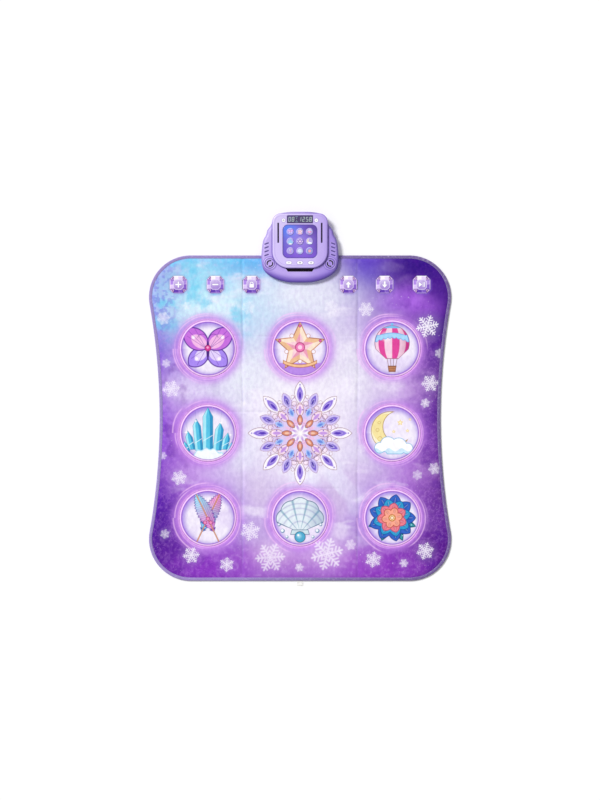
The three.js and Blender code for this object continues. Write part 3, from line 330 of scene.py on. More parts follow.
def fitted_grid(xs, ys, inside):
    """A grid over xs and ys, cut to where inside(x, y) is positive. Points near the cut's edge are
    moved on to it along the distance's slope, so the edge runs smoothly. Returns x, y and faces."""
    x, y = np.meshgrid(np.asarray(xs, float), np.asarray(ys, float))
    step = abs(xs[1] - xs[0])
    distance = inside(x, y)
    reach = step / 10
    slope_x = (inside(x + reach, y) - inside(x - reach, y)) / (2 * reach)
    slope_y = (inside(x, y + reach) - inside(x, y - reach)) / (2 * reach)
    slope_x[:, [0, -1]] = 0
    steepness = slope_x**2 + slope_y**2
    near = (np.abs(distance) < 0.55 * step) & (steepness > 0.3)
    shift = np.where(near, distance / np.maximum(steepness, 0.3), 0)
    x, y = x - slope_x * shift, y - slope_y * shift
    kept = near | (distance > 0)
    index = np.arange(x.size).reshape(x.shape)
    corners = np.stack([index[:-1, :-1], index[:-1, 1:], index[1:, 1:], index[1:, :-1]], -1)
    corners = corners.reshape(-1, 4)
    inner = kept.ravel()[corners]
    deep = (distance > 0).ravel()[corners].any(1)
    count = inner.sum(1)
    quads = corners[(count == 4) & deep]
    three = corners[(count == 3) & deep]
    lost = np.argmin(inner[(count == 3) & deep], 1)
    order = (lost[:, None] + np.array([1, 2, 3])) % 4
    triangles = np.take_along_axis(three, order, 1)
    used, compact = np.unique(np.concatenate([quads.ravel(), triangles.ravel()]), return_inverse=True)
    quads = compact[: quads.size].reshape(-1, 4)
    triangles = compact[quads.size :].reshape(-1, 3)
    return x.ravel()[used], y.ravel()[used], [quads, triangles]


def border_edges(faces):
    """Edges that only one face uses, as pairs of points in the face's own direction."""
    edges = np.concatenate([np.stack([f, np.roll(f, -1, 1)], -1).reshape(-1, 2) for f in faces])
    low_first = np.sort(edges, 1)
    code = low_first[:, 0] * (edges.max() + 1) + low_first[:, 1]
    _, first, count = np.unique(code, return_index=True, return_counts=True)
    return edges[first[count == 1]]


def with_walls(points, faces, wall_low, skip=None, tuck=None):
    """Adds a wall down from each border edge to wall_low, a height or a function of the points.
    skip(points) says which border points get no wall, and tuck(points) moves the wall's foot."""
    edges = border_edges(faces)
    if skip is not None:
        edges = edges[~(skip(points[edges[:, 0]]) & skip(points[edges[:, 1]]))]
    rim, compact = np.unique(edges, return_inverse=True)
    compact = compact.reshape(edges.shape) + len(points)
    lower = points[rim].copy()
    lower[:, 2] = wall_low(lower) if callable(wall_low) else wall_low
    if tuck is not None:
        lower[:, :2] += tuck(lower)
    walls = np.stack([edges[:, 1], edges[:, 0], compact[:, 0], compact[:, 1]], -1)
    return np.concatenate([points, lower]), faces + [walls]


def mesh_object(name, points, faces, material, colours=None, sharp=None):
    """Makes a mesh object from points in millimetres and arrays of three- or four-cornered faces.
    colours, one per point, go into the colour attribute that the print materials read."""
    mesh = bpy.data.meshes.new(name)
    faces = [f for f in faces if len(f)]
    mesh.vertices.add(len(points))
    mesh.vertices.foreach_set("co", (np.asarray(points) * MM).astype(np.float32).ravel())
    corners = np.concatenate([f.ravel() for f in faces]).astype(np.int32)
    sizes = np.concatenate([np.full(len(f), f.shape[1]) for f in faces])
    mesh.loops.add(len(corners))
    mesh.loops.foreach_set("vertex_index", corners)
    mesh.polygons.add(len(sizes))
    mesh.polygons.foreach_set("loop_start", (np.cumsum(sizes) - sizes).astype(np.int32))
    mesh.update(calc_edges=True)
    mesh.validate()
    mesh.shade_smooth()
    if sharp is not None:
        mesh.set_sharp_from_angle(angle=np.radians(sharp))
    if colours is not None:
        values = np.ones((len(points), 4), np.float32)
        values[:, :3] = np.clip(colours, 0, 1)
        layer = mesh.color_attributes.new("print", "FLOAT_COLOR", "POINT")
        layer.data.foreach_set("color", values.ravel())
    mesh.materials.append(material)
    item = bpy.data.objects.new(name, mesh)
    bpy.context.scene.collection.objects.link(item)
    return item


def steps(start, end, size):
    """Even places from start to end, about size apart."""
    return np.linspace(start, end, max(2, int(round(abs(end - start) / size)) + 1))


def shape_grid(half_x, half_y, size, distance, margin=1e-6):
    """A grid from side to side of a shape, cut to where its distance outwards is below the margin."""
    xs, ys = steps(-half_x, half_x, size), steps(-half_y, half_y, size)
    return fitted_grid(xs, ys, lambda x, y: margin - distance(x, y))


# The mat's cloth pieces.

COVER_STEP = 1.53
ROW_YS = steps(FRONT_EDGE + 8, BACK_EDGE - 8, COVER_STEP)


def panel_xs(panel, size=COVER_STEP):
    """Places across a panel where its cloth's grid has points."""
    if panel == "middle":
        return steps(-STRIP_IN, STRIP_IN, size)
    outer = steps(STRIP_OUT, MAT_WIDTH / 2, size)
    return outer if panel == "right" else -outer[::-1]


def strip_xs(side):
    """Places across the strip of cloth at a fold line."""
    xs = steps(STRIP_IN, STRIP_OUT, COVER_STEP)
    return xs if side == "right" else -xs[::-1]


def cover_cut(x, y):
    """Positive on the cover: inside the tape's stitching and outside the pad and key holes."""
    return np.minimum(mat_inset(x, y) - TAPE_WIDTH + LAYER_OVERLAP, hole_distance(x, y))


def on_strip_line(points):
    """Points on a line where a panel's cloth carries on into a fold strip."""
    across = np.abs(points[:, 0])
    return (np.abs(across - STRIP_IN) < 1e-3) | (np.abs(across - STRIP_OUT) < 1e-3)


def cover_piece(name, xs):
    """One piece of the printed cover over the places xs, from the front of the mat to its back."""
    x, y, faces = fitted_grid(xs, ROW_YS, cover_cut)
    points = np.stack([x, y, cover_height(x, y)], 1)
    points, faces = with_walls(points, faces, COVER_LOW, on_strip_line)
    colours = cover_print_and_shade(points[:, 0], points[:, 1])
    item = mesh_object(name, points, faces, finish("printed_plush"), colours, sharp=50)
    return item


def disc_grid(radius, size):
    """A round grid without a pole: a square grid pressed into a circle, each line becoming part of an
    ellipse. Returns x, y and faces."""
    side = int(round(2 * radius / size))
    u, v = np.meshgrid(np.linspace(-1, 1, side + 1), np.linspace(-1, 1, side + 1))
    x = radius * u * np.sqrt(1 - v**2 / 2)
    y = radius * v * np.sqrt(1 - u**2 / 2)
    index = np.arange(x.size).reshape(x.shape)
    faces = np.stack([index[:-1, :-1], index[:-1, 1:], index[1:, 1:], index[1:, :-1]], -1)
    return x.ravel(), y.ravel(), [faces.reshape(-1, 4)]


def closed_below(points, faces, wall_low, tuck=None):
    """Walls down from the border, their foot moved by tuck(points), and a floor that closes the piece."""
    count = len(points)
    points, faces = with_walls(points, faces, wall_low, tuck=tuck)
    rim = np.arange(count, len(points))
    centre = np.append(points[rim, :2].mean(0), wall_low)
    edges = border_edges(faces)
    fan = np.stack([edges[:, 1], edges[:, 0], np.full(len(edges), len(points))], 1)
    return np.concatenate([points, [centre]]), faces + [fan]


def standing_piece(name, node, body, slot, grid, top, paint, foot, sharp=50, tuck=None):
    """A closed piece that stands for a CAD node: its top over a grid about the node's middle, walls
    down to its foot, and the print that paint gives at each point."""
    points, faces = closed_below(np.stack([*grid[:2], top], 1), grid[2], foot, tuck)
    colours = paint(points[:, 0], points[:, 1])
    points[:, :2] += middle(node)
    item = mesh_object(name, points, faces, finish(slot), colours, sharp)
    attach(item, body)
    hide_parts(node)
    return item


def pad_height(x, y, seed):
    """Top of a step pad: level at its middle, rounded down to the shoulder over pad_round by a
    quarter of an ellipse, with slow noise for the sponge under the cloth."""
    radius = np.hypot(x, y)
    share = np.clip((PAD_RADIUS - radius) / size_of("cloth", "pad_round"), 0, 1)
    crown = (PAD_TOP - PAD_SHOULDER) * np.sqrt(1 - (1 - share) ** 2) * 0.88
    swell = 0.25 * smooth(PAD_RADIUS - radius, 0, 60)
    slack = 0.5 * (clouds(x, y, 34, seed, 3) - 0.5) * share
    seam = 0.22 * bell(radius - 72, 1.6)
    return np.minimum(PAD_SHOULDER + crown + swell + slack - seam, PAD_TOP)


def pad_tuck(points):
    """Draws a step pad's foot inwards, so that a pressed pad goes into the hole in the spacer foam."""
    return -points[:, :2] * PAD_TUCK / PAD_RADIUS


def step_pad(pad, seed):
    """One printed step pad."""
    node = f"step_pad_{pad}"
    grid = disc_grid(PAD_RADIUS, 1.0)
    top = pad_height(*grid[:2], seed)
    item = standing_piece(
        node + "_cloth", node, f"pad_{pad}", "printed_plush", grid, top,
        lambda x, y: pad_print(pad, x, y), SOFT_LOW, tuck=pad_tuck,
    )


def key_height(x, y):
    """Top of a touch key: a table with sides that slope down to its cut-cornered edge."""
    table = cut_square(x, y, KEY_TABLE_HALF, KEY_CUT * KEY_TABLE_HALF / KEY_HALF)
    edge = -cut_square(x, y, KEY_HALF, KEY_CUT)
    share = np.clip(edge / np.maximum(edge + np.maximum(table, 0), 1e-6), 0, 1)
    slope = KEY_EDGE + (KEY_TOP - 0.15 - KEY_EDGE) * share**0.85
    return slope + 0.15 * bell(np.maximum(-table, 0), 9)


def touch_key(key, seed):
    """One printed touch key."""
    node = f"touch_key_{key}"
    grid = shape_grid(KEY_HALF, KEY_HALF, 0.5, lambda x, y: cut_square(x, y, KEY_HALF, KEY_CUT))
    slack = 0.18 * (clouds(*grid[:2], 13, seed, 2) - 0.5)
    top = np.minimum(key_height(*grid[:2]) + slack, KEY_TOP)
    item = standing_piece(
        node + "_cloth", node, f"key_{key}", "printed_plush", grid, top,
        lambda x, y: key_print(key, x, y), SOFT_LOW, sharp=40,
    )


def outline_run():
    """The mat's right half edge from the fold strip at the back round to the one at the front, as
    points and inward normals: straight, arc, bowed side, and the same mirrored."""
    back = np.stack([steps(STRIP_OUT, CORNER_X, 1.6), steps(STRIP_OUT, CORNER_X, 1.6) * 0], 1)
    back[:, 1] = HALF_LENGTH
    turn = np.linspace(np.pi / 2, -SIDE_LEAN, 128)[1:]
    arc = np.stack([CORNER_X + CORNER_RADIUS * np.cos(turn), CORNER_Y + CORNER_RADIUS * np.sin(turn)], 1)
    along = np.linspace(SIDE_Y, 0, 202)[1:]
    bow = (1 - (along / SIDE_Y) ** 2) / 2
    side = np.stack([SIDE_X * (1 - bow) + BOW_X * bow, along], 1)
    half = np.concatenate([back, arc, side])
    whole = np.concatenate([half, (half * (1, -1))[-2::-1]])
    ahead = np.gradient(whole, axis=0)
    ahead /= np.hypot(*ahead.T)[:, None]
    return whole + (0, MIDDLE_Y), np.stack([ahead[:, 1], -ahead[:, 0]], 1)


# The tape's section as (share of its width inwards, share of its height): the outside, then the inside.
TAPE_SECTION = np.array(
    [
        (1.0, 0.0), (0.7, 0.0), (0.3, 0.0), (0.1, 0.03), (0.02, 0.14), (0.0, 0.35), (0.0, 0.6),
        (0.03, 0.82), (0.12, 0.96), (0.3, 1.03), (0.6, 1.05), (0.86, 1.0), (0.98, 0.95), (1.0, 0.87),
        (0.6, 0.87), (0.12, 0.8), (0.1, 0.2), (0.6, 0.13), (1.0, 0.12),
    ]
)
STITCH_INSET = 7.4


def tape_piece(name, run, inward):
    """Binding tape along a run of points: TAPE_SECTION swept along it, drawn in a little at each
    stitch and a little uneven in width, but plain at its ends, which are closed and meet the next
    piece of tape."""
    length = np.append(0, np.cumsum(np.hypot(*np.diff(run, axis=0).T)))
    plain_ends = smooth(np.minimum(length, length[-1] - length), 0, 5)
    pinch = 1 - 0.05 * plain_ends * np.cos(length / size_of("cloth", "stitch_pitch") * 2 * np.pi)
    wander = 0.5 * plain_ends * (noise(length, length * 0, 34, 21) - 0.5)
    share, rise = TAPE_SECTION.T
    reach = share * (TAPE_WIDTH + wander[:, None] * (share > 0.5))
    points = np.empty((len(run), len(share), 3))
    points[..., :2] = run[:, None] + inward[:, None] * reach[..., None]
    points[..., 2] = rise * TAPE_TOP * np.where(rise > 0.9, pinch[:, None], 1) * 0.97
    index = np.arange(points[..., 0].size).reshape(points.shape[:2])
    ahead = np.roll(index, -1, 1)
    sides = np.stack([index[:-1], ahead[:-1], ahead[1:], index[1:]], -1).reshape(-1, 4)
    faces = [sides, index[:1, ::-1], index[-1:]]
    item = mesh_object(name, points.reshape(-1, 3), faces, finish("binding_tape"), sharp=60)
    return item


def stitches(name, run, inward):
    """A row of stitches along the inner edge of the tape: each is a short domed thread, a grid of
    3 by 5 points, laid along the run."""
    length = np.append(0, np.cumsum(np.hypot(*np.diff(run, axis=0).T)))
    pitch = size_of("cloth", "stitch_pitch")
    starts = np.arange(pitch / 2, length[-1], pitch)
    seat, across = [np.stack([np.interp(starts, length, v[:, i]) for i in (0, 1)], 1) for v in (run, inward)]
    ahead = np.stack([-across[:, 1], across[:, 0]], 1)
    u, v = [axis.ravel() for axis in np.meshgrid(np.linspace(-1, 1, 3), np.linspace(-1, 1, 5))]
    side = 0.45 * u * np.sqrt(1 - 0.8 * v**2)
    flat = seat[:, None] + across[:, None] * (STITCH_INSET + side[:, None])
    points = np.empty((len(starts), len(u), 3))
    points[..., :2] = flat + ahead[:, None] * (1.15 * v)[:, None]
    points[..., 2] = TAPE_TOP - 0.1 + 0.55 * (1 - u**2) * (1 - v**2)
    cell = np.array([(0, 1, 4, 3), (1, 2, 5, 4)])
    cell = (cell[None] + 3 * np.arange(4)[:, None, None]).reshape(-1, 4)
    faces = (cell[None] + len(u) * np.arange(len(starts))[:, None, None]).reshape(-1, 4)
    return mesh_object(name, points.reshape(-1, 3), [faces], finish("binding_thread"))


def bound_side(side, body, run, inward):
    """Tape and stitches along one side of the mat."""
    item = tape_piece(f"tape_{side}", run, inward)
    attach(item, body)
    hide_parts(f"binding_{side}")
    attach(stitches(f"tape_stitches_{side}", run, inward), body)


def straight_run(end, left, right):
    """A straight stretch of the mat's back edge from left to right, or of its front edge from right
    to left, and its inward normals."""
    back = end == "back"
    xs = steps(left, right, 1.6) if back else steps(right, left, 1.6)
    run = np.stack([xs, np.full(len(xs), BACK_EDGE if back else FRONT_EDGE)], 1)
    return run, np.tile([0.0, -1.0 if back else 1.0], (len(xs), 1))


def bend_over_fold(item):
    """Writes the placing of a piece at a fold line into its mesh."""
    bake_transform(item)


def backing_height(x, y):
    """Underside of the backing, which lies on the floor and lifts a little at the fold lines."""
    return 0.35 * bell(np.abs(x) - FOLD_LINE, 2.5)


def backing_piece(name, xs):
    """A thin closed sheet of backing cloth over the places xs, cut out round the clamp plate."""
    plate_x, plate_y = middle("mat_clamp_plate")
    plate_half_x = high("mat_clamp_plate", 0) - plate_x + PLATE_GAP
    plate_half_y = high("mat_clamp_plate", 1) - plate_y + PLATE_GAP

    def cut(x, y):
        plate = rounded_box(x - plate_x, y - plate_y, plate_half_x, plate_half_y, PLATE_CORNER)
        return np.minimum(mat_inset(x, y) - TAPE_WIDTH - LAYER_OVERLAP, plate)

    x, y, faces = fitted_grid(xs, ROW_YS[::3], cut)
    points, faces = sheet_of(np.stack([x, y, backing_height(x, y)], 1), faces, BACKING_TOP)
    item = mesh_object(name, points, faces, finish("backing_cloth"), sharp=40)
    return item


def sheet_of(under, faces, thickness):
    """A closed sheet: its underside, the same raised by its thickness, and walls between."""
    count = len(under)
    rim = border_edges(faces)
    walls = np.stack([rim[:, 0], rim[:, 1], rim[:, 1] + count, rim[:, 0] + count], 1)
    faces = [f[:, ::-1] for f in faces] + [f + count for f in faces] + [walls]
    return np.concatenate([under, under + (0, 0, thickness)]), faces


PLATE_GAP = 1
PLATE_CORNER = 4
LABEL_SIZE = (17, 14)
LABEL_THICKNESS = 0.45


def label_piece():
    """The care label: a bare strip of satin that curls a little at its free end, with woven edges."""
    half_x, half_y = (size / 2 for size in LABEL_SIZE)
    x, y, faces = shape_grid(
        half_x, half_y, 0.4, lambda x, y: rounded_box(x, y, half_x - 0.05, half_y - 0.05, 0.5)
    )
    free = smooth(-y, -half_y, half_y)
    curl = 0.5 * free**2 + 0.25 * free * np.sin(x / 3.2)
    edge = 0.08 * smooth(np.abs(x), half_x - 1.2, half_x - 0.6)
    under = np.stack([x, y, low("care_label", 2) - 0.2 + curl + edge], 1)
    points, faces = sheet_of(under, faces, LABEL_THICKNESS)
    points[:, :2] += middle("care_label")
    item = mesh_object("label_satin", points, faces, finish("label_cloth"), sharp=40)
    return item


# The console.

# Half of the tier's outline, as shares of its half width and of its reach from the mat's edge.
TIER_SHARES = (
    (0.363, -0.972), (0.727, -0.8), (0.93, -0.56), (0.99, -0.3), (1, -0.08), (0.985, 0.17),
    (0.945, 0.36), (0.878, 0.47), (0.85, 0.57), (0.745, 0.7), (0.7, 0.82), (0.6, 0.93), (0.35, 0.988),
)
TIER_STEP = 0.75
DECK_STEP = 0.7
WINDOW_STEP = 0.5
BUTTON_STEP = 0.3
PORT_PLACE = (84.5, BACK_EDGE - 23.6)
PORT_RADIUS = 17.5
PORT_GROOVE = (12.6, 14.4)
PORT_SLOT = (6, 9.5)
PORT_SLOT_HALF_ANGLE = np.radians(74)
VENT_X = 93.5
VENT_BACK_Y = BACK_EDGE + 32
VENT_PITCH = 10.7
VENT_COUNT = 4
VENT_HALF = (7, 2.1)
VENT_TILT = np.radians(20)
FRONT_SLOT_HALF = 34
FRONT_SLOT_REACH = 9.5
FRONT_SLOT_LENGTH = 24.5
FRONT_SLOT_SPREAD = 17 / FRONT_SLOT_LENGTH
SIDE_SLOT_X = 61
SIDE_SLOT_MIDDLE_Y = BACK_EDGE + 62
SIDE_SLOT_HALF = (2.1, 28)
DISPLAY_HALF = (36.5, 11.2)
DISPLAY_CORNER = 1.5
ICON_HALF = (48.5, 47)
ICON_CORNER = 15
PARTING_RISE = 0.9
PARTING_TUCK = 0.7
DECK_FLANGE = 5


def smooth_outline(points, places=14):
    """A closed line through points, by a centripetal Catmull-Rom cubic for each stretch."""
    p = [np.roll(points, shift, 0) for shift in (1, 0, -1, -2)]
    gap = [np.sqrt(np.hypot(*(p[i + 1] - p[i]).T))[:, None] for i in range(3)]
    leave = p[2] - p[1] + gap[1] * ((p[1] - p[0]) / gap[0] - (p[2] - p[0]) / (gap[0] + gap[1]))
    arrive = p[2] - p[1] + gap[1] * ((p[3] - p[2]) / gap[2] - (p[3] - p[1]) / (gap[1] + gap[2]))
    t = np.linspace(0, 1, places, endpoint=False)[None, :, None]
    start, end, leave, arrive = (v[:, None] for v in (p[1], p[2], leave, arrive))
    cubic = 2 * (start - end) + leave + arrive
    square = 3 * (end - start) - 2 * leave - arrive
    return (cubic * t**3 + square * t**2 + leave * t + start).reshape(-1, 2)


def tier_outline():
    """The tier's outline in plan, seen from its own middle."""
    back, front = TIER_BACK - BACK_EDGE, BACK_EDGE - TIER_FRONT
    half = [(x * TIER_X, y * (back if y > 0 else front)) for x, y in TIER_SHARES]
    whole = [(0, -front), *half, (0, back), *[(-x, y) for x, y in half[::-1]]]
    return smooth_outline(np.array(whole))


TIER_MIDDLE_Y = BACK_EDGE + 15
TIER_LINE = tier_outline() - (0, TIER_MIDDLE_Y - BACK_EDGE)


def tier_inset(x, y):
    """Distance inwards from the tier's outline: the outline's radius at a point's bearing, less the
    point's own, times the cosine of the outline's slant there."""
    bearing, reach = np.arctan2(TIER_LINE[:, 1], TIER_LINE[:, 0]), np.hypot(*TIER_LINE.T)
    order = np.argsort(bearing)
    even = np.linspace(-np.pi, np.pi, 721)
    radius = np.interp(even, bearing[order], reach[order], period=2 * np.pi)
    slant = np.gradient(radius, even)
    scale = radius / np.hypot(radius, slant)
    at = np.arctan2(y - TIER_MIDDLE_Y, x)
    distance = np.hypot(x, y - TIER_MIDDLE_Y)
    return (np.interp(at, even, radius) - distance) * np.interp(at, even, scale)


def deck_distance(x, y):
    """Distance outwards from the deck's outline, whose front corners are rounder than its back ones."""
    centre = (DECK_FRONT + DECK_BACK) / 2
    radius = np.where(y < centre, DECK_FRONT_RADIUS, DECK_BACK_RADIUS)
    return rounded_box(x, y - centre, DECK_X, (DECK_BACK - DECK_FRONT) / 2, radius)


def front_slot_distance(x, y):
    """Distance outwards from the front slot, which widens towards the deck."""
    start = DECK_FRONT - FRONT_SLOT_REACH
    half = FRONT_SLOT_HALF + FRONT_SLOT_SPREAD * (y - start)
    sides = (np.abs(x) - half) / np.hypot(1, FRONT_SLOT_SPREAD)
    return np.maximum.reduce([start - y, y - start - FRONT_SLOT_LENGTH, sides])


def port_places(x, y):
    """Each port's radius and bearing at x and y, with its side."""
    for side in (-1, 1):
        dx, dy = x - side * PORT_PLACE[0], y - PORT_PLACE[1]
        yield side, np.hypot(dx, dy), np.arctan2(dy, dx)


def port_slot_distance(x, y):
    """Distance outwards from the nearest of the ports' curved slots."""
    nearest = np.full(np.shape(x), FAR)
    for side, radius, bearing in port_places(x, y):
        ring = np.maximum(PORT_SLOT[0] - radius, radius - PORT_SLOT[1])
        off = np.abs((bearing - side * np.pi / 4 + np.pi / 2) % np.pi - np.pi / 2)
        ends = radius * np.sin(np.clip(off - PORT_SLOT_HALF_ANGLE, -1, 1))
        nearest = np.minimum(nearest, np.maximum(ring, ends))
    return nearest


def vent_distance(x, y):
    """Distance outwards from the nearest vent."""
    nearest = np.full(np.shape(x), FAR)
    for i in range(VENT_COUNT):
        u, v = turned(np.abs(x) - VENT_X, y - (VENT_BACK_Y - i * VENT_PITCH), -VENT_TILT)
        nearest = np.minimum(nearest, rounded_box(u, v, *VENT_HALF, VENT_HALF[1]))
    return nearest


def tier_cut(x, y):
    """Positive on the tier's roof: inside its outline, clear of the slots, and not under the deck."""
    return np.minimum.reduce(
        [tier_inset(x, y), front_slot_distance(x, y), port_slot_distance(x, y), deck_distance(x, y) + 3]
    )


def tier_height(x, y):
    """Top of the tier: its edge rounds up over tier_round, wider at the front lip, with raised ports
    that have a ring groove, sunk vents and a groove round the deck."""
    front = smooth((BACK_EDGE - y) / (BACK_EDGE - TIER_FRONT), 0.4, 0.95)
    share = np.clip(tier_inset(x, y) / (size_of("console", "tier_round") * (1 + 0.9 * front)), 0, 1)
    rise = 0.42 + 0.58 * (1 - (1 - share) ** 2.6) ** 0.6
    top = TIER_LOW + (ROOF_Z - TIER_LOW) * rise
    for _, radius, _ in port_places(x, y):
        disc = 1 - smooth(radius, PORT_RADIUS - 0.9, PORT_RADIUS + 0.2)
        groove = smooth(radius, PORT_GROOVE[0] - 0.4, PORT_GROOVE[0] + 0.5)
        groove = groove * (1 - smooth(radius, PORT_GROOVE[1] - 0.5, PORT_GROOVE[1] + 0.4))
        cup = 0.35 * (1 - smooth(radius, 3, 6))
        plateau = np.maximum(top, ROOF_Z * disc + top * (1 - disc))
        top = plateau + disc * size_of("console", "port_rise")
        top = top - size_of("console", "groove_depth") * 1.3 * groove - cup
    top = top - size_of("console", "vent_depth") * (1 - smooth(vent_distance(x, y), -0.7, 0.35))
    return top - 0.7 * bell(deck_distance(x, y), 0.8)


def deck_holes(x, y):
    """Distance outwards from the nearest opening of the deck: windows, side slots and buttons."""
    display_x, display_y = middle("display_window")
    icon_x, icon_y = middle("icon_window")
    nearest = np.minimum(
        rounded_box(x - display_x, y - display_y, *DISPLAY_HALF, DISPLAY_CORNER),
        rounded_box(x - icon_x, y - icon_y, *ICON_HALF, ICON_CORNER),
    )
    slots = rounded_box(np.abs(x) - SIDE_SLOT_X, y - SIDE_SLOT_MIDDLE_Y, *SIDE_SLOT_HALF, 1)
    nearest = np.minimum(nearest, slots)
    for place, distance in BUTTONS.values():
        nearest = np.minimum(nearest, distance(x - place[0], y - place[1]) - FIT_GAP)
    return nearest


def round_button(x, y):
    """Distance outwards from a round button's edge."""
    return np.hypot(x, y) - ROUND_BUTTON_RADIUS


def oval_button(x, y):
    """Distance outwards from an oval button's edge."""
    return rounded_box(x, y, *OVAL_BUTTON_HALF, OVAL_BUTTON_HALF[1])


ROUND_BUTTON_RADIUS = (high("power_button", 0) - low("power_button", 0)) / 2
OVAL_BUTTON_HALF = (8.25, 4.5)
BUTTONS = {
    "power": (middle("power_button"), round_button),
    "mode": (middle("mode_button"), round_button),
    "volume_down": (middle("volume_down_button"), oval_button),
    "song": (middle("song_button"), oval_button),
    "volume_up": (middle("volume_up_button"), oval_button),
}


def deck_cut(x, y):
    """Positive on the deck's top."""
    return np.minimum(-deck_distance(x, y), deck_holes(x, y))


def deck_height(x, y):
    """Top of the deck: its edge rounds up over deck_round, and it rolls down a little at each opening."""
    share = np.clip(-deck_distance(x, y) / size_of("console", "deck_round"), 0, 1)
    rise = 0.62 + 0.38 * (1 - (1 - share) ** 2.4) ** 0.55
    roll = 0.35 * (1 - smooth(deck_holes(x, y), 0, 1.4)) ** 2
    return ROOF_Z + (DECK_TOP - ROOF_Z) * rise - roll


def deck_foot(points):
    """Height of the deck's foot: the tier's roof, or lower where the tier's edge rounds down."""
    return np.minimum(ROOF_Z, tier_height(points[:, 0], points[:, 1]) - 0.4)


def in_deck_opening(points):
    """Points on the rim of one of the deck's openings."""
    return deck_distance(points[:, 0], points[:, 1]) < -2


def towards(points, place):
    """Directions in plan from points towards a place, one long."""
    ahead = place - points[:, :2]
    return ahead / np.hypot(*ahead.T)[:, None]


def deck_tuck(points):
    """The deck's foot turns in under it, towards its middle."""
    return DECK_FLANGE * towards(points, (0, (DECK_FRONT + DECK_BACK) / 2))


def tier_tuck(points):
    """The tier's lowest edge is drawn in towards its middle, which leaves a parting line."""
    outer = tier_inset(points[:, 0], points[:, 1]) < 2
    return PARTING_TUCK * towards(points, (0, TIER_MIDDLE_Y)) * outer[:, None]


def window_piece(name, node, slot, half, corner, paint):
    """A clear window: flat, with a rounded rim, and printed from behind."""

    def outward(x, y):
        return rounded_box(x, y, half[0] - 0.1, half[1] - 0.1, corner)

    grid = shape_grid(*half, WINDOW_STEP, outward)
    rim = smooth(-outward(*grid[:2]), 0, 0.9)
    top = WINDOW_TOP - 0.45 * (1 - rim) ** 2
    standing_piece(name, node, "middle_panel", slot, grid, top, paint, low(node, 2))


def button_piece(button):
    """A console button with a dished top and a dark symbol."""
    node = f"{button}_button"
    (px, py), distance = BUTTONS[button]
    half_x, half_y = high(node, 0) - px + BUTTON_STEP, high(node, 1) - py + BUTTON_STEP
    grid = shape_grid(half_x, half_y, BUTTON_STEP, distance, 0)
    inset = -distance(*grid[:2])
    dome = 0.75 * (1 - (1 - np.clip(inset / 1.3, 0, 1)) ** 2.2)
    top = high(node, 2) - 0.75 + dome - 0.3 * smooth(inset, 1.2, 3.6)
    standing_piece(
        node + "_cap", node, f"button_{button}", "button_white", grid, top,
        lambda x, y: button_print(button, x, y), low(node, 2),
    )


def shell_piece(name, node, slot, points, faces, paint):
    """A part of the console's shell that stands for a CAD node, with its colours and their painted light and
    shade.
    """
    item = mesh_object(name, points, faces, finish(slot), paint(points), sharp=50)
    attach(item, "middle_panel")
    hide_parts(node)


# Black cloths: speaker cloth behind each port, and dark sheets that stand for the shade inside the front and
# side slots: place, half size, height, and the piece that each rests on.
SPEAKER_AND_SHADE_CLOTHS = (
    *[((side * PORT_PLACE[0], PORT_PLACE[1]), (12, 12), ROOF_Z - 6, "console_tier") for side in (-1, 1)],
    ((0, DECK_FRONT), (62, 14), ROOF_Z - 9, "console_tier"),
    *[
        ((side * SIDE_SLOT_X, SIDE_SLOT_MIDDLE_Y), (5.3, 31), DECK_TOP - 4.5, "console_deck")
        for side in (-1, 1)
    ],
)


def slot_cloth(name, place, half, height, rests_on):
    """A flat piece of black cloth, very slightly uneven: behind a port it is speaker cloth, and in a slot it
    is a dark sheet that stands for the shade inside it.
    """
    x, y, faces = shape_grid(*half, 2, lambda x, y: rounded_box(x, y, *half, 1.5))
    points = np.stack([x + place[0], y + place[1], height + 0.15 * (noise(x, y, 5, 141) - 0.5)], 1)
    points, faces = closed_below(points, faces, height - 0.5)
    item = mesh_object(name, points, faces, finish("grille_cloth"), sharp=40)
    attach(item, "middle_panel")


# Prints, and the console's colours with their painted light and shade. Each is worked out from the plan place
# of every point, by layers of soft shapes.


def segment(x, y, start, end):
    """Distance to the straight line between two places."""
    along_x, along_y = end[0] - start[0], end[1] - start[1]
    share = ((x - start[0]) * along_x + (y - start[1]) * along_y) / (along_x**2 + along_y**2)
    share = np.clip(share, 0, 1)
    return np.hypot(x - start[0] - share * along_x, y - start[1] - share * along_y)


def chain(x, y, places):
    """Distance to a line through several places."""
    return np.minimum.reduce([segment(x, y, a, b) for a, b in zip(places, places[1:])])


def polygon(x, y, places):
    """Distance outwards from a closed polygon, less than 0 inside it."""
    within = np.zeros(np.shape(x), bool)
    closed = [*places, places[0]]
    for (ax, ay), (bx, by) in zip(closed, closed[1:]):
        if ay != by:
            within ^= ((ay > y) != (by > y)) & (x < (bx - ax) * (y - ay) / (by - ay) + ax)
    edge = chain(x, y, closed)
    return np.where(within, -edge, edge)


def leaf(x, y, start, end, width):
    """Distance outwards from a leaf: the overlap of two circles, pointed at start and end."""
    length = np.hypot(end[0] - start[0], end[1] - start[1])
    ahead_x, ahead_y = (end[0] - start[0]) / length, (end[1] - start[1]) / length
    dx, dy = x - (start[0] + end[0]) / 2, y - (start[1] + end[1]) / 2
    along, across = dx * ahead_x + dy * ahead_y, np.abs(dy * ahead_x - dx * ahead_y)
    radius = (length**2 / 4 + width**2 / 4) / width
    return np.hypot(along, across + radius - width / 2) - radius


def spoke(x, y, count, turn=0.0):
    """x and y turned and mirrored into the first of count equal sectors, along its middle line."""
    angle = np.arctan2(y, x) - np.radians(turn)
    sector = 2 * np.pi / count
    angle = np.abs((angle + sector / 2) % sector - sector / 2)
    radius = np.hypot(x, y)
    return radius * np.cos(angle), radius * np.sin(angle)


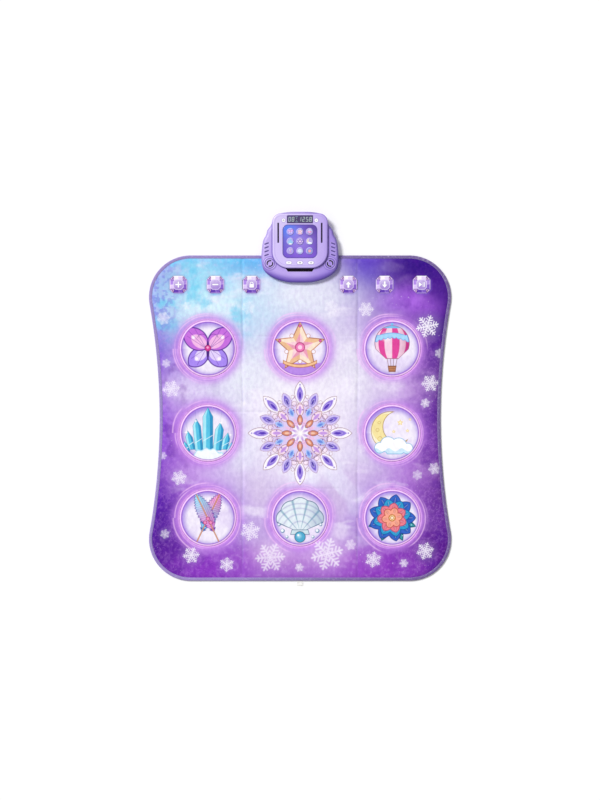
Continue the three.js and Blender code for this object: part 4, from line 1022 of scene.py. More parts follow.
class Print:
    """Colours at a piece's points, over a base colour. Each layer covers those below it."""

    def __init__(self, x, y, base, soft=0.6):
        self.x, self.y, self.soft = x, y, soft
        self.colours = np.tile(tone(base) if isinstance(base, str) else base, (len(x), 1))

    def lay(self, mask, colour):
        """Lays a colour on by a mask from 0 to 1."""
        colour = tone(colour) if isinstance(colour, str) else colour
        self.colours += np.clip(mask, 0, 1)[:, None] * (colour - self.colours)

    def inside(self, distance):
        """Mask of the places where a distance outwards is below 0, soft at its edge."""
        return 1 - smooth(distance, -self.soft, self.soft)

    def shape(self, distance, colour, strength=1.0):
        """Fills where a distance outwards is below 0."""
        self.lay(strength * self.inside(distance), colour)

    def line(self, distance, width, colour, strength=1.0):
        """Draws a line of that width where the distance is 0."""
        self.shape(np.abs(distance) - width / 2, colour, strength)

    def rimmed(self, distance, rim, width, fill):
        """Fills a shape with its rim's colour, and then, inside the rim's width, with its own."""
        self.shape(distance, rim)
        self.shape(distance + width, fill)

    def disc(self, x, y, radius, colour, strength=1.0):
        """Fills a disc, seen from its middle."""
        self.shape(np.hypot(x, y) - radius, colour, strength)

    def blob(self, place, size, colour, strength=1.0, turn=0.0, warp=(0, 0)):
        """A soft oval patch: a bell over size, bent by warp."""
        u, v = turned(self.x + warp[0] - place[0], self.y + warp[1] - place[1], np.radians(turn))
        self.lay(strength * np.exp(-((u / size[0]) ** 2 + (v / size[1]) ** 2)), colour)


# Patches of the cover's background: place, size, turn in degrees, strength, colour.
COVER_PATCHES = (
    ((0, 60), (160, 430), 0, 0.95, "#f4f0f7"),
    ((-250, 310), (240, 190), 0, 0.97, "#a4e6f7"),
    ((-420, 400), (70, 70), 0, 0.8, "#a8a4e0"),
    ((-140, 385), (90, 60), 0, 0.95, "#66bdf0"),
    ((-260, 250), (120, 64), 10, 0.9, "#e2f7fc"),
    ((-440, 240), (60, 90), 4, 0.7, "#b4c8f4"),
    ((-440, 60), (80, 150), 4, 0.95, "#7d63cd"),
    ((-290, 30), (100, 60), 0, 0.8, "#e8e3f7"),
    ((-440, -110), (90, 110), 0, 0.9, "#8f63d4"),
    ((-430, -290), (110, 130), 0, 1.0, "#5f1fb0"),
    ((-420, -450), (150, 130), 0, 1.0, "#47108e"),
    ((-240, -480), (150, 80), 0, 0.95, "#9a54c8"),
    ((-260, -210), (120, 60), 0, 0.6, "#dcc2f0"),
    ((330, 370), (190, 120), 0, 1.0, "#3c0e8e"),
    ((165, 375), (70, 70), 0, 1.0, "#6741c6"),
    ((430, 190), (120, 180), 0, 1.0, "#481590"),
    ((290, 270), (90, 34), -8, 0.85, "#c08ff0"),
    ((440, 10), (110, 150), 0, 1.0, "#521b8c"),
    ((440, -230), (110, 140), 0, 1.0, "#5a1f88"),
    ((410, -450), (160, 130), 0, 1.0, "#54158a"),
    ((210, -480), (170, 80), 0, 0.95, "#9c56c4"),
    ((-20, -490), (130, 60), 0, 0.8, "#9c68c4"),
    ((240, 30), (110, 50), 8, 0.7, "#e2d2ef"),
    ((250, -215), (120, 55), -6, 0.65, "#d0b2e6"),
    ((-115, -270), (60, 100), 24, 0.7, "#e0d2ea"),
    ((115, -280), (60, 110), -20, 0.7, "#dccbe8"),
    ((0, 300), (150, 70), 0, 0.85, "#eff1f9"),
    ((0, 20), (190, 150), 0, 0.8, "#f6f3f9"),
    ((-60, -440), (70, 50), 0, 0.6, "#e8d5ef"),
    ((70, -430), (90, 60), 10, 0.6, "#e3cdf0"),
    ((-165, 60), (80, 110), 0, 0.8, "#eff4f9"),
    ((-165, -140), (90, 90), 10, 0.75, "#eef0f9"),
    ((-225, 100), (60, 36), 0, 0.6, "#f1effa"),
    ((145, 60), (50, 120), 0, 0.6, "#eff0f5"),
    ((170, -150), (80, 70), -10, 0.6, "#e9e6f3"),
)

# Snowflakes: place, radius, turn in degrees, strength, blur.
SNOWFLAKES = (
    ((358, 204), 31, 12, 0.95, 0.6),
    ((186, 252), 21, 0, 0.75, 1.1),
    ((392, 128), 13, 25, 0.7, 0.8),
    ((366, 44), 24, 5, 0.85, 0.8),
    ((352, -12), 13, 18, 0.75, 0.9),
    ((378, -196), 17, 9, 0.7, 0.9),
    ((330, -214), 14, 26, 0.55, 1.2),
    ((352, -428), 24, 14, 0.85, 0.8),
    ((292, -462), 12, 3, 0.75, 0.8),
    ((206, -452), 22, 22, 0.85, 0.8),
    ((142, -410), 15, 8, 0.6, 1.5),
    ((76, -436), 44, 15, 0.7, 3.0),
    ((-2, -474), 12, 10, 0.7, 0.9),
    ((-84, -446), 40, 4, 0.65, 3.0),
    ((-140, -372), 27, 18, 0.75, 1.3),
    ((-206, -466), 20, 26, 0.85, 0.8),
    ((-306, -440), 23, 6, 0.9, 0.8),
    ((-380, -380), 13, 20, 0.6, 0.9),
    ((-340, -222), 21, 14, 0.8, 1.0),
    ((-386, -160), 11, 2, 0.6, 1.0),
    ((-362, 28), 24, 8, 0.75, 1.4),
    ((-376, 100), 12, 24, 0.65, 1.1),
    ((-384, 226), 18, 11, 0.6, 1.6),
    ((-318, 262), 11, 0, 0.5, 1.6),
    ((-146, 256), 18, 16, 0.45, 1.8),
    ((88, 258), 19, 21, 0.5, 1.8),
    ((-160, -16), 11, 7, 0.35, 1.6),
    ((172, -140), 12, 19, 0.4, 1.6),
)


def snowflake(ink, place, radius, turn, strength, blur):
    """A six-armed snowflake with three pairs of side branches on each arm, and a soft glow."""
    near = np.hypot(ink.x - place[0], ink.y - place[1]) < radius * 1.7
    if not near.any():
        return
    dx, dy = (ink.x[near] - place[0]) / radius, (ink.y[near] - place[1]) / radius
    u, v = spoke(dx, dy, 6, turn)
    arms = segment(u, v, (0, 0), (1, 0)) - 0.045
    for start, reach in ((0.3, 0.24), (0.52, 0.3), (0.76, 0.2)):
        branch = segment(u, v, (start, 0), (start + reach * 0.55, reach)) - 0.04
        arms = np.minimum(arms, branch)
    hub = np.abs(u - 0.2) - 0.03
    arms = np.minimum(arms, hub) * radius
    glow = 0.16 * bell(np.hypot(dx, dy), 1)
    mask = strength * np.maximum(1 - smooth(arms, -blur * 0.6, blur), glow)
    ink.colours[near] += mask[:, None] * (tone("#fbf7ff") - ink.colours[near])


def halo(ink, place):
    """The painted glow round a pad: pink light next to its ring, and thin brushed arcs."""
    dx, dy = ink.x - place[0], ink.y - place[1]
    radius, bearing = np.hypot(dx, dy), np.arctan2(dy, dx)
    wobble = noise(bearing * 20 + 80, 0 * bearing + place[0], 11, 31)
    faint = smooth(place[0], 100, 250)
    glow = bell(np.maximum(radius - 84, 0), 17 - 4 * faint)
    ink.lay((0.8 - 0.25 * faint) * glow, colour_of("cloth", "glow_colour"))
    ink.lay(0.9 * bell(np.maximum(radius - 81, 0), 3.2), "#e9aef3")
    for i, spread in enumerate((87, 93, 99)):
        arc = np.abs(radius - spread - 5 * (wobble - 0.5) * (i + 1) / 2)
        part = smooth(noise(bearing * 20 + 80, 0 * bearing + place[1], 17, 35 + i), 0.45, 0.75)
        ink.lay(0.75 * bell(arc, 0.9 + 0.4 * i) * part, "#f3c3f7")


def cover_print_and_shade(x, y):
    """The cover's printed colours: soft patches bent by noise, streaks of cloud, frost, a glow round
    each pad, the rosette and snowflakes, with a painted shadow round each key and painted shade along
    each fold line."""
    ink = Print(x, y, colour_of("cloth", "cover_colour"))
    warp = [60 * (clouds(x, y, 150, seed) - 0.5) for seed in (51, 57)]
    for place, size, turn, strength, colour in COVER_PATCHES:
        ink.blob(place, size, colour, strength, turn, warp)
    streak_x, streak_y = x * 0.5 + y * 0.9, x * 0.9 - y * 0.5
    wisps = clouds(x + warp[0], (y + warp[1]) * 2.6, 120, 63, 5)
    dark_side = 1 - 0.85 * smooth(x, 90, 200) * smooth(y, 100, 220)
    within = smooth(np.abs(x), 400, 260) * smooth(-y, 460, 330) * dark_side
    ink.lay(0.6 * smooth(wisps, 0.56, 0.78) * within, "#f8f4fd")
    rays = clouds(np.arctan2(x, -(y + 60)) * 90, np.hypot(x, y + 60) / 5, 26, 71, 3)
    low_middle = bell(x, 150) * smooth(-y, 90, 200) * smooth(y, -470, -330)
    ink.lay(0.8 * smooth(rays, 0.5, 0.72) * low_middle, "#eef2fd")
    ink.colours **= 1.2
    frost = 1 - np.abs(2 * clouds(streak_x, streak_y, 10, 77, 4) - 1)
    edge = smooth(np.abs(x), 180, 330)
    ink.lay(0.2 * smooth(frost, 0.88, 0.99) * (0.4 + 0.6 * edge) * dark_side, "#cfa6f0")
    cold = smooth(-x, 80, 200) * smooth(y, 110, 240)
    dark, mottle = clouds(x, y, 30, 83, 4), clouds(x, y, 8, 87, 3)
    ink.lay(0.35 * smooth(dark, 0.5, 0.75) * edge * (1 - cold), "#4c1890")
    ink.lay(0.65 * smooth(dark, 0.42, 0.75) * cold, "#5fcdee")
    ink.lay(0.6 * smooth(mottle, 0.45, 0.65) * cold * smooth(-x, 310, 400), "#6a6fd8")
    ink.lay((0.16 - 0.08 * edge) * smooth(mottle, 0.5, 0.8) * dark_side, "#e4d0fa")
    ink.lay((0.05 + 0.07 * edge) * smooth(mottle, 0.5, 0.2) * (1 - cold), "#6a38b4")
    speckle = noise(x, y, 2.2, 91)
    ink.lay(0.5 * smooth(speckle, 0.93, 0.99) * smooth(clouds(x, y, 60, 93, 2), 0.45, 0.7), "#ffffff")
    rich = np.maximum(smooth(np.abs(x), 200, 330), smooth(-y, 380, 450)) * (1 - cold)
    ink.colours[:, 1] *= 1 - 0.45 * rich * (1 - ink.colours[:, 1]) ** 2
    for pad, place in PADS.items():
        if pad != "centre_middle":
            halo(ink, place)
    # A painted shadow round each touch key, shifted a little to the right and towards the front.
    for key, (px, py) in KEYS.items():
        shade = cut_square(x - px - 1.5, y - py + 2.5, KEY_HALF - 2, KEY_CUT)
        ink.lay(0.45 * bell(np.maximum(shade, 0), 5), "#7a5cc4")
    rosette(ink, x, y - PADS["centre_middle"][1])
    for flake in SNOWFLAKES:
        snowflake(ink, *flake)
    # Painted shade along the crease of each fold line.
    crease = bell(np.abs(x) - FOLD_LINE - 1.2 * np.sin(y / 31), 2.2)
    ink.lay(0.2 * crease * smooth(noise(x * 0, y, 60, 15), 0.2, 0.8), "#8f8cc4")
    return ink.colours


# The rosette's petals, as petals() reads them: spoke 0 is straight, 1 between, and 2 each side of both.
ROSETTE_BACK = (
    (1, 24, 104, 52, "#e4d6f5", 1.2, "#b79ad8"),
    (0, 24, 114, 56, "#f3e8fa", 1.2, "#a98ad0"),
    (2, 24, 84, 26, "#dccbf2", 1.2, "#9f7fcb"),
)
ROSETTE_TIPS = (
    (0, 80, 146, 30, "#fbf6fd", 1.3, "#8c5a62"),
    (0, 88, 132, 17, "#8f78da", 1.3, "#c8b2ee"),
    (0, 92, 120, 9, "#5a3cba", 1.3, "#c8b2ee"),
    (1, 72, 122, 26, "#cfc0f2", 1.0, "#a67c86"),
    (1, 80, 116, 15, "#7c66cf", 1.0, "#e0d4f7"),
    (1, 84, 104, 7, "#4f3aa6", 1.0, "#e0d4f7"),
)
ROSETTE_HEART = (
    (0, 46, 86, 21, "#f5dcec", 1.4, "#a9705f"),
    (0, 52, 78, 9, "#c79ae2"),
    (1, 50, 76, 15, "#a9c3f3"),
    (1, 54, 70, 7, "#6b8fe0"),
    (0, 22, 52, 15, "#d98d72", 1.5, "#7c3b3c"),
    (0, 28, 44, 6, "#f6c7ad"),
    (1, 16, 46, 10, "#eec3e4"),
    (1, 4, 24, 7, "#b98fe0"),
)
SMALL_ROSETTE = (
    (0, 20, 76, 30, "#5a3aa6"),
    (0, 28, 64, 15, "#e9dcf8"),
    (1, 10, 58, 20, "#8a63c8"),
    (0, 4, 36, 16, "#b08fd0"),
)


def petals(ink, spokes, rows):
    """Petals along spokes. A row gives a petal's spoke, start, end, width and fill, and then its rim's
    width and colour, if it has one."""
    for which, start, end, width, fill, *rim in rows:
        petal = leaf(*spokes[which], (start, 0), (end, 0), width)
        ink.shape(petal, fill)
        if rim:
            ink.line(petal, *rim)


def rosette(ink, x, y):
    """An eight-fold rosette: pointed petals with copper edges, blue stones and a bright middle."""
    radius = np.hypot(x, y)
    if not (radius < 150).any():
        return
    ink.lay(0.85 * np.exp(-((radius / 135) ** 4)), "#f6f1fb")
    spokes = [spoke(x, y, 8), spoke(x, y, 8, 22.5), spoke(x, y, 16, 11.25)]
    u, v = spokes[0]
    m, n = spokes[2]
    petals(ink, spokes, ROSETTE_BACK)
    ink.line(ring_of(x, y, 66, 8, 22.5) - 10, 1.3, "#a8705c")
    ink.line(ring_of(x, y, 104, 16, 11.25) - 5, 1.1, "#b58a92")
    petals(ink, spokes, ROSETTE_TIPS)
    ink.line(np.hypot(m - 84, n) - 7, 1.5, "#b3848a")
    ink.disc(m - 84, n, 4, "#f7e2f2")
    petals(ink, spokes, ROSETTE_HEART)
    ink.line(radius - 30, 0.9, "#b78ad6")
    ink.lay(bell(radius, 13), "#fffaf6")
    ink.shape(np.minimum(np.hypot(m - 66, n - 5.5), np.hypot(u - 136, v)) - 2, "#7d5cc9")


def small_rosette(ink, x, y):
    """The rosette's plain form for the icon window."""
    petals(ink, [spoke(x, y, 8), spoke(x, y, 8, 22.5)], SMALL_ROSETTE)
    ink.line(np.hypot(x, y) - 30, 5, "#4a3396", 0.8)
    ink.disc(x, y, 11, "#f3e6f2")


def ring_of(x, y, radius, count, turn=0.0):
    """Distance to the nearest of count places spread evenly round a circle."""
    u, v = spoke(x, y, count, turn)
    return np.hypot(u - radius, v)


def butterfly(ink, x, y):
    """A butterfly with two pairs of wings, dark veins and a round stone."""
    side = np.abs(x)
    for start, end, width, colour, inner in (
        ((2, -2), (44, -40), 38, "#a98af0", "#e3d2fa"),
        ((2, 2), (56, 44), 46, "#c66fdc", "#f3b9e6"),
    ):
        wing = leaf(side, y, start, end, width) - 3
        ink.rimmed(wing, "#5b2f9a", 2.6, colour)
        ink.shape(leaf(side, y, start, [0.72 * c for c in end], width * 0.62), inner)
        ink.disc(side - 0.62 * end[0], y - 0.62 * end[1], 4, "#fdf3ff")
    for tip in ((50, 30), (50, 46), (34, 52), (40, -24), (26, -40)):
        ink.shape(segment(side, y, (4, 0), tip) - 0.55, "#6a35a6", 0.8)
    ink.shape(leaf(x, y, (0, -30), (0, 24), 8), "#4a2380")
    ink.line(np.hypot(side - 14, y - 24) - 11 + 20 * (y < 26), 1.0, "#4a2380")
    ink.disc(x, y - 1, 8, "#8e1f66")
    ink.disc(x, y - 1, 6.4, "#d63c94")
    ink.shape(polygon(x, y, ((-4, 3), (0, 6), (3, 2), (-1, -1))), "#f8a8d4")


def faceted_star(ink, x, y):
    """A five-pointed star cut in facets, in gold and peach, with pink stones and a band below."""
    ink.shape(np.maximum(np.hypot(x, y + 4) - 62, y + 34), "#b98be6")
    y = y - 3
    for size, light, dark in (
        (62, "#c98250", "#a9623c"), (57, "#fbe6cf", "#eebf93"), (34, "#f9d2da", "#eb9fb8"),
    ):
        u, v = spoke(x, y, 5, 90)
        within = (u - size) * 0.5878 * 0.62 + v * 0.81
        angle = (np.arctan2(y, x) - np.pi / 2) % (2 * np.pi / 5)
        ink.shape(within, light)
        ink.lay(ink.inside(within) * (angle < np.pi / 5), dark)
    ink.shape(ring_of(x, y, 50, 5, 90) - 3.6, "#8c2f6e")
    ink.shape(ring_of(x, y, 50, 5, 90) - 2.4, "#e86bb0")
    ink.shape(ring_of(x, y, 33, 5, 54) - 4.6, "#f7f2ff")
    ink.line(ring_of(x, y, 33, 5, 54) - 4.6, 1.1, "#c98250")
    ink.disc(x, y, 12, "#b8487e")
    ink.shape(spoke(x, y, 8)[0] - 9.4, "#ee7db7")
    ink.shape(spoke(x, y, 8, 22.5)[0] - 5, "#fbd0e6")
    band = np.abs(np.hypot(x, y - 40) - 84) - 4
    band = np.maximum(np.maximum(band, y + 26), np.abs(x) - 40)
    ink.rimmed(band, "#b4693a", 1.4, "#f6c596")


def balloon(ink, x, y):
    """A hot-air balloon: gores in pink, white and red, a scalloped band, ropes and a basket."""
    dy = y - 14
    body = np.where(dy > -16, np.hypot(x, dy) - 44, np.maximum(np.abs(x) - 41 - 1.05 * (dy + 16), -dy - 40))
    ink.shape(body, "#8f1f5a")
    gore = np.sin(np.arcsin(np.clip(x / np.sqrt(np.maximum(44.0**2 - (dy * 0.9) ** 2, 60)), -1, 1)) * 7)
    ink.shape(body + 1.4, "#f6d3e4")
    inside = ink.inside(body + 1.4)
    ink.lay(inside * smooth(gore, -0.15, 0.15), "#e0489a")
    ink.lay(0.5 * inside * smooth(x, 10, 44), "#a3206e")
    ink.lay(0.6 * (1 - smooth(np.hypot(x + 15, dy - 16), 4, 17)), "#ffffff")
    wave = 3.2 * np.abs(np.sin(x * 0.29))
    band = np.maximum(np.abs(dy - 20 + 0.006 * x * x) - 6 - wave * (dy < 20), body + 1)
    ink.rimmed(band, "#5f9fe0", 1.6, "#a7d8f7")
    crown = np.maximum(body + 1, 37 - dy)
    ink.shape(crown, "#7cc0ec")
    for end in (-9, -3, 3, 9):
        ink.shape(segment(x, y, (end * 1.4, -25), (end, -44)) - 0.6, "#8a5a4a")
    basket = np.maximum(np.abs(x) - 10 - 0.15 * (y + 50), np.abs(y + 51) - 8)
    ink.shape(basket, "#7a4636")
    ink.shape(np.maximum(basket + 1.3, np.abs((y + 51) % 5 - 2.5) - 1.6), "#c98a62")
    ink.disc(x, y - 61, 3.5, "#7cc0ec")


def crystals(ink, x, y):
    """A cluster of pointed crystals, each in three facets, on a snowy base."""
    for px, foot, height, width, lean in (
        (-37, -38, 44, 17, -0.22), (37, -38, 40, 17, 0.24), (-20, -40, 74, 19, -0.1),
        (21, -40, 66, 20, 0.12), (0, -42, 102, 24, 0.0), (-47, -42, 24, 13, -0.3), (49, -42, 22, 13, 0.3),
    ):
        dx = x - px - lean * (y - foot)
        half = width / 2
        tip = half * np.clip((foot + height - y) / (width * 0.9), 0, 1)
        shell = np.maximum(np.abs(dx) - tip, foot - y)
        ink.rimmed(shell, "#1f6f9c", 0.9, "#58c3e2")
        ink.shape(np.maximum(shell + 0.9, dx + tip * 0.35), "#a9ecf7")
        ink.shape(np.maximum(shell + 0.9, tip * 0.4 - dx), "#2f93c4")
        ink.shape(np.maximum(shell + 0.9, np.abs(y - foot - height * 0.3 - dx * 0.6) - 0.8), "#e9fdff", 0.8)
    snow = np.hypot(x / 1.35, y + 66) - 31 + 2 * np.sin(x * 0.33)
    ink.rimmed(snow, "#b9e6f6", 2.5, "#f6fdff")
    for px, py in ((-28, 28), (30, 24), (-50, 2), (52, -4), (10, 62)):
        sparkle = np.abs(x - px) ** 0.5 + np.abs(y - py) ** 0.5 - 2.2
        ink.shape(sparkle, "#ffffff")


def moon(ink, x, y):
    """A crescent moon over a cloud, with small stars."""
    outer, bite = np.hypot(x + 4, y - 6) - 48, np.hypot(x - 16, y - 16) - 38
    crescent = np.maximum(outer, -bite)
    ink.rimmed(crescent, "#b08a3e", 1.6, "#f4e3a1")
    ink.shape(np.maximum(crescent + 1.6, 2 - np.hypot(x + 14, y - 12) + 34), "#fdf6d2")
    for px, py, size in ((-36, 8, 4), (-30, -14, 5.5), (-14, -30, 4), (-32, 26, 3)):
        ink.line(np.hypot(x - px, y - py) - size, 1.1, "#cfae5c")
    puffs = ((-30, -36, 14), (-10, -28, 20), (16, -32, 21), (38, -38, 14), (0, -42, 16))
    cloud = np.minimum.reduce([np.hypot(x - px, y - py) - size for px, py, size in puffs])
    cloud = np.maximum(cloud, -y - 52)
    ink.rimmed(cloud, "#6fb4dc", 1.6, "#cfeaf8")
    ink.shape(np.maximum(cloud + 1.6, 3 - (y + 44 + 4 * np.sin(x * 0.2))), "#ffffff")
    ink.shape(np.minimum(np.hypot(x - 24, y + 28) - 8, np.hypot(x + 8, y + 24) - 9), "#ffffff")
    for px, py, size in ((20, 26, 8), (38, 6, 5), (4, 4, 5), (44, 34, 4)):
        u, v = spoke(x - px, y - py, 5, 90)
        ink.shape((u - size) * 0.36 + v * 0.81, "#f0cf6a")
        ink.shape((u - size * 0.6) * 0.36 + v * 0.81, "#fff6cd")


def feathers(ink, x, y):
    """Two crossing feathers with striped barbs and copper quills."""
    for side, near, far in ((1, "#4fb7e6", "#e884c4"), (-1, "#d673c8", "#8fd6f0")):
        foot, tip = (-side * 24, -52), (side * 27, 54)
        length = np.hypot(tip[0] - foot[0], tip[1] - foot[1])
        ahead = ((tip[0] - foot[0]) / length, (tip[1] - foot[1]) / length)
        along = (x - foot[0]) * ahead[0] + (y - foot[1]) * ahead[1]
        across = (x - foot[0]) * ahead[1] - (y - foot[1]) * ahead[0]
        start = (foot[0] + ahead[0] * 24, foot[1] + ahead[1] * 24)
        vane = leaf(x, y, start, tip, 33) + 1.3 * np.sin((along - np.abs(across) * 0.8) * 0.9)
        ink.rimmed(vane, "#5d3f9e", 1.6, near)
        share = smooth(along, 40, length - 10)
        ink.lay(ink.inside(vane + 1.6) * share, far)
        barbs = np.abs(((along - np.abs(across) * 0.9) % 5.2) - 2.6) - 0.5
        ink.shape(np.maximum(barbs, vane + 2.6), "#fbf2ff", 0.7)
        ink.shape(np.maximum(vane + 2.2, 3 - across), "#37307c", 0.22)
        ink.shape(segment(x, y, foot, (tip[0] * 0.9, tip[1] * 0.9)) - 1.4, "#a9603c")
        ink.shape(segment(x, y, foot, (tip[0] * 0.9, tip[1] * 0.9)) - 0.5, "#f0b78e")
    for px, py in ((0, -2), (-6, -10), (6, -10)):
        ink.disc(x - px, y - py, 4.4, "#a3336f")
        ink.disc(x - px, y - py, 3, "#f28fbf")


def shell(ink, x, y):
    """A scallop shell in silver and teal, with a pearl at its hinge."""
    dy = y + 34
    angle, radius = np.arctan2(x, dy), np.hypot(x, dy)
    rim = 78 - 16 * np.abs(angle) ** 1.6 + 3.6 * np.abs(np.cos(angle * 6.6))
    fan = np.maximum(radius - rim, np.abs(angle) * 40 - 47)
    ink.rimmed(fan, "#4b6f8e", 1.8, "#e4eff4")
    ribs = np.abs(np.cos(angle * 6.6))
    inside = ink.inside(fan + 1.8)
    ink.lay(inside * 0.75 * smooth(ribs, 0.45, 0.05), "#6fa3b8")
    for ring in (26, 42, 56, 67):
        ink.lay(inside * 0.4 * bell(radius - ring, 1.8), "#8a7fc0")
    ink.lay(0.4 * inside * smooth(x, 5, 46), "#5a86ac")
    wing = np.maximum(np.abs(x) - 20 + 0.3 * (y + 30), np.abs(y + 33) - 6)
    ink.rimmed(wing, "#4b6f8e", 1.4, "#cfe3ea")
    ink.disc(x, y + 44, 13, "#17516e")
    ink.disc(x, y + 44, 11.6, "#4fa9cc")
    ink.lay(0.8 * (1 - smooth(np.hypot(x + 2, y + 42), 1, 9)), "#a8e2f2")
    ink.lay(1 - smooth(np.hypot(x + 4, y + 40), 1.4, 3.4), "#ffffff")
    for px, py, size in ((40, -30, 5), (30, -44, 3.5), (48, -16, 3.5)):
        for sign in (-1, 1):
            ink.disc(x - sign * px, y - py, size, "#6c8fb0")
            ink.disc(x - sign * px + 0.8, y - py - 0.8, size * 0.66, "#f3fbff")


def flower(ink, x, y):
    """A layered flower, deep blue outside and coral in its middle, with two leaves."""
    for turn in (200, 245, 295, 340):
        tip = (62 * np.cos(np.radians(turn)), 62 * np.sin(np.radians(turn)))
        ink.shape(leaf(x, y, (0, 0), tip, 22), "#1f6a7c")
        ink.shape(leaf(x, y, (0, 0), [0.93 * c for c in tip], 13), "#3fa3a6")
    for count, turn, reach, width, dark, light in (
        (9, 0, 58, 34, "#1c2f86", "#3565c4"), (8, 14, 47, 30, "#145c9c", "#2f9fd0"),
        (7, 30, 37, 26, "#a23d6a", "#f07f8c"), (6, 10, 26, 20, "#b8503f", "#f8a78e"),
    ):
        u, v = spoke(x, y, count, turn)
        petal = leaf(u, v, (4, 0), (reach, 0), width)
        ink.rimmed(petal, dark, 1.8, light)
        ink.shape(leaf(u, v, (reach * 0.4, 0), (reach * 0.92, 0), width * 0.32), dark, 0.35)
        ink.shape(segment(u, v, (6, 0), (reach * 0.85, 0)) - 0.4, "#ffffff", 0.35)
    ink.disc(x, y, 9, "#c8743a")
    ink.shape(ring_of(x, y, 5.4, 8) - 1.5, "#ffe7a8")
    ink.disc(x, y, 3, "#fff3cf")
    ink.shape(ring_of(x, y, 50, 9, 20) - 1.2, "#bfe4ff")


# The motif of each pad, and how far it is enlarged.
MOTIFS = {
    "back_left": (butterfly, 1.16),
    "back_middle": (faceted_star, 1.2),
    "back_right": (balloon, 1.12),
    "centre_left": (crystals, 1.22),
    "centre_right": (moon, 1.14),
    "front_left": (feathers, 1.32),
    "front_middle": (shell, 1.22),
    "front_right": (flower, 1.16),
}


def pad_print(pad, x, y):
    """A step pad's printed colours: a pale disc shaded at its rim, a motif and a pink ring. The pad in
    the middle of the mat carries the rosette instead."""
    ink = Print(x, y, colour_of("cloth", "pad_colour"))
    radius, bearing = np.hypot(x, y), np.arctan2(y, x)
    if pad == "centre_middle":
        ink.lay(0.4 * smooth(clouds(x, y, 40, 95), 0.45, 0.7), "#e3def6")
        rosette(ink, x, y)
        return ink.colours
    place = PADS[pad]
    ink.lay(0.6 * smooth(clouds(x + place[0], y, 44, 97), 0.42, 0.7), "#dccdf1")
    wobble = noise(bearing * 20 + 80, 0 * bearing + place[1], 24, 101) - 0.5
    shade = radius + 7 * (0.6 * y - 0.5 * x) / PAD_RADIUS + 6 * wobble
    ink.lay(0.8 * smooth(shade, 56, 78), "#9468da")
    ink.lay(0.6 * smooth(radius, 70, 75), "#7b46c8")
    motif, size = MOTIFS[pad]
    motif(ink, x / size, y / size)
    ink.lay(smooth(radius, 73.6, 75.2), "#cf8fe8")
    ink.lay(bell(radius - 77.2 - 0.8 * wobble, 1.5), "#fbdcfa")
    ink.lay(0.8 * bell(radius - 74.2, 0.8), "#7c46bf")
    return ink.colours


# The touch keys' symbols, as distances outwards.
KEY_SYMBOLS = {
    "plus": lambda x, y: np.minimum(rounded_box(x, y, 8.5, 2, 0.6), rounded_box(x, y, 2, 8.5, 0.6)),
    "minus": lambda x, y: rounded_box(x, y, 8.5, 2, 0.6),
    "lock": lambda x, y: np.minimum(
        rounded_box(x, y + 3.5, 6.2, 5, 1), np.maximum(np.abs(np.hypot(x, y - 2.5) - 4.2) - 1.2, -y)
    ),
    "up": lambda x, y: np.minimum(
        rounded_box(x, y + 4, 2.6, 5, 0.5), polygon(x, y, ((-8, 0), (8, 0), (0, 9)))
    ),
    "down": lambda x, y: np.minimum(
        rounded_box(x, y - 4, 2.6, 5, 0.5), polygon(x, y, ((-8, 0), (0, -9), (8, 0)))
    ),
    "play": lambda x, y: np.minimum(
        polygon(x, y, ((-8, -7), (2, 0), (-8, 7))), rounded_box(np.abs(x - 6.2) - 2.1, y, 1.1, 7, 0.4)
    ),
}
# A key's side facets, as a turn in degrees, the colour of each half and the colour along its edge.
KEY_FACETS = (
    (0, "#b592e4", "#8f68cf", "#e4d0f8"),
    (90, "#f7eefd", "#e5d3f8", "#ffffff"),
    (180, "#dcc6f6", "#b08be2", "#f3e8fc"),
    (270, "#8560c8", "#6c46b6", "#c5a8ec"),
)


def key_print(key, x, y):
    """A touch key's printed colours: a cut stone with four sides and dark corners round a table, and a
    white symbol."""
    ink = Print(x, y, "#b596e2", 0.4)
    for turn, first, second, rim in KEY_FACETS:
        u, v = turned(x, y, np.radians(turn))
        sector = (np.abs(v) - u) / np.sqrt(2)
        ink.shape(np.maximum(sector, -v), first)
        ink.shape(np.maximum(sector, v), second)
        ink.shape(np.maximum(sector, 22.6 - u), rim, 0.8)
        ink.shape(np.abs(segment(u, v, (KEY_TABLE_HALF, 0), (KEY_HALF, 5))) - 0.4, rim, 0.6)
    side_x, side_y = np.abs(x), np.abs(y)
    corner = np.maximum(14.8 - side_x, 14.8 - side_y)
    facet = polygon(side_x, side_y, ((12, 12), (24, 12.5), (18, 17), (12.5, 24)))
    ink.shape(np.minimum(corner, facet), "#43207f")
    ink.shape(polygon(side_x, side_y, ((13, 13), (25, 15), (21, 18))), "#d9b9f2")
    ink.shape(segment(side_x, side_y, (13, 14), (17, 24)) - 0.7, "#f4c6ec")
    ink.disc(side_x - 18.4, side_y - 18.4, 1.6, "#efd0f6")
    table = cut_square(x, y, KEY_TABLE_HALF, KEY_CUT * KEY_TABLE_HALF / KEY_HALF)
    ink.shape(table, "#a98bd6")
    ink.lay((table < 0) * smooth(y - x * 0.3, -14, 16) * 0.75, "#dccbf3")
    ink.line(table + 0.8, 1.0, "#f7efff")
    symbol = KEY_SYMBOLS[key](x, y)
    ink.shape(symbol - 0.9, "#7a5bb8", 0.6)
    ink.shape(symbol, "#ffffff")
    return ink.colours


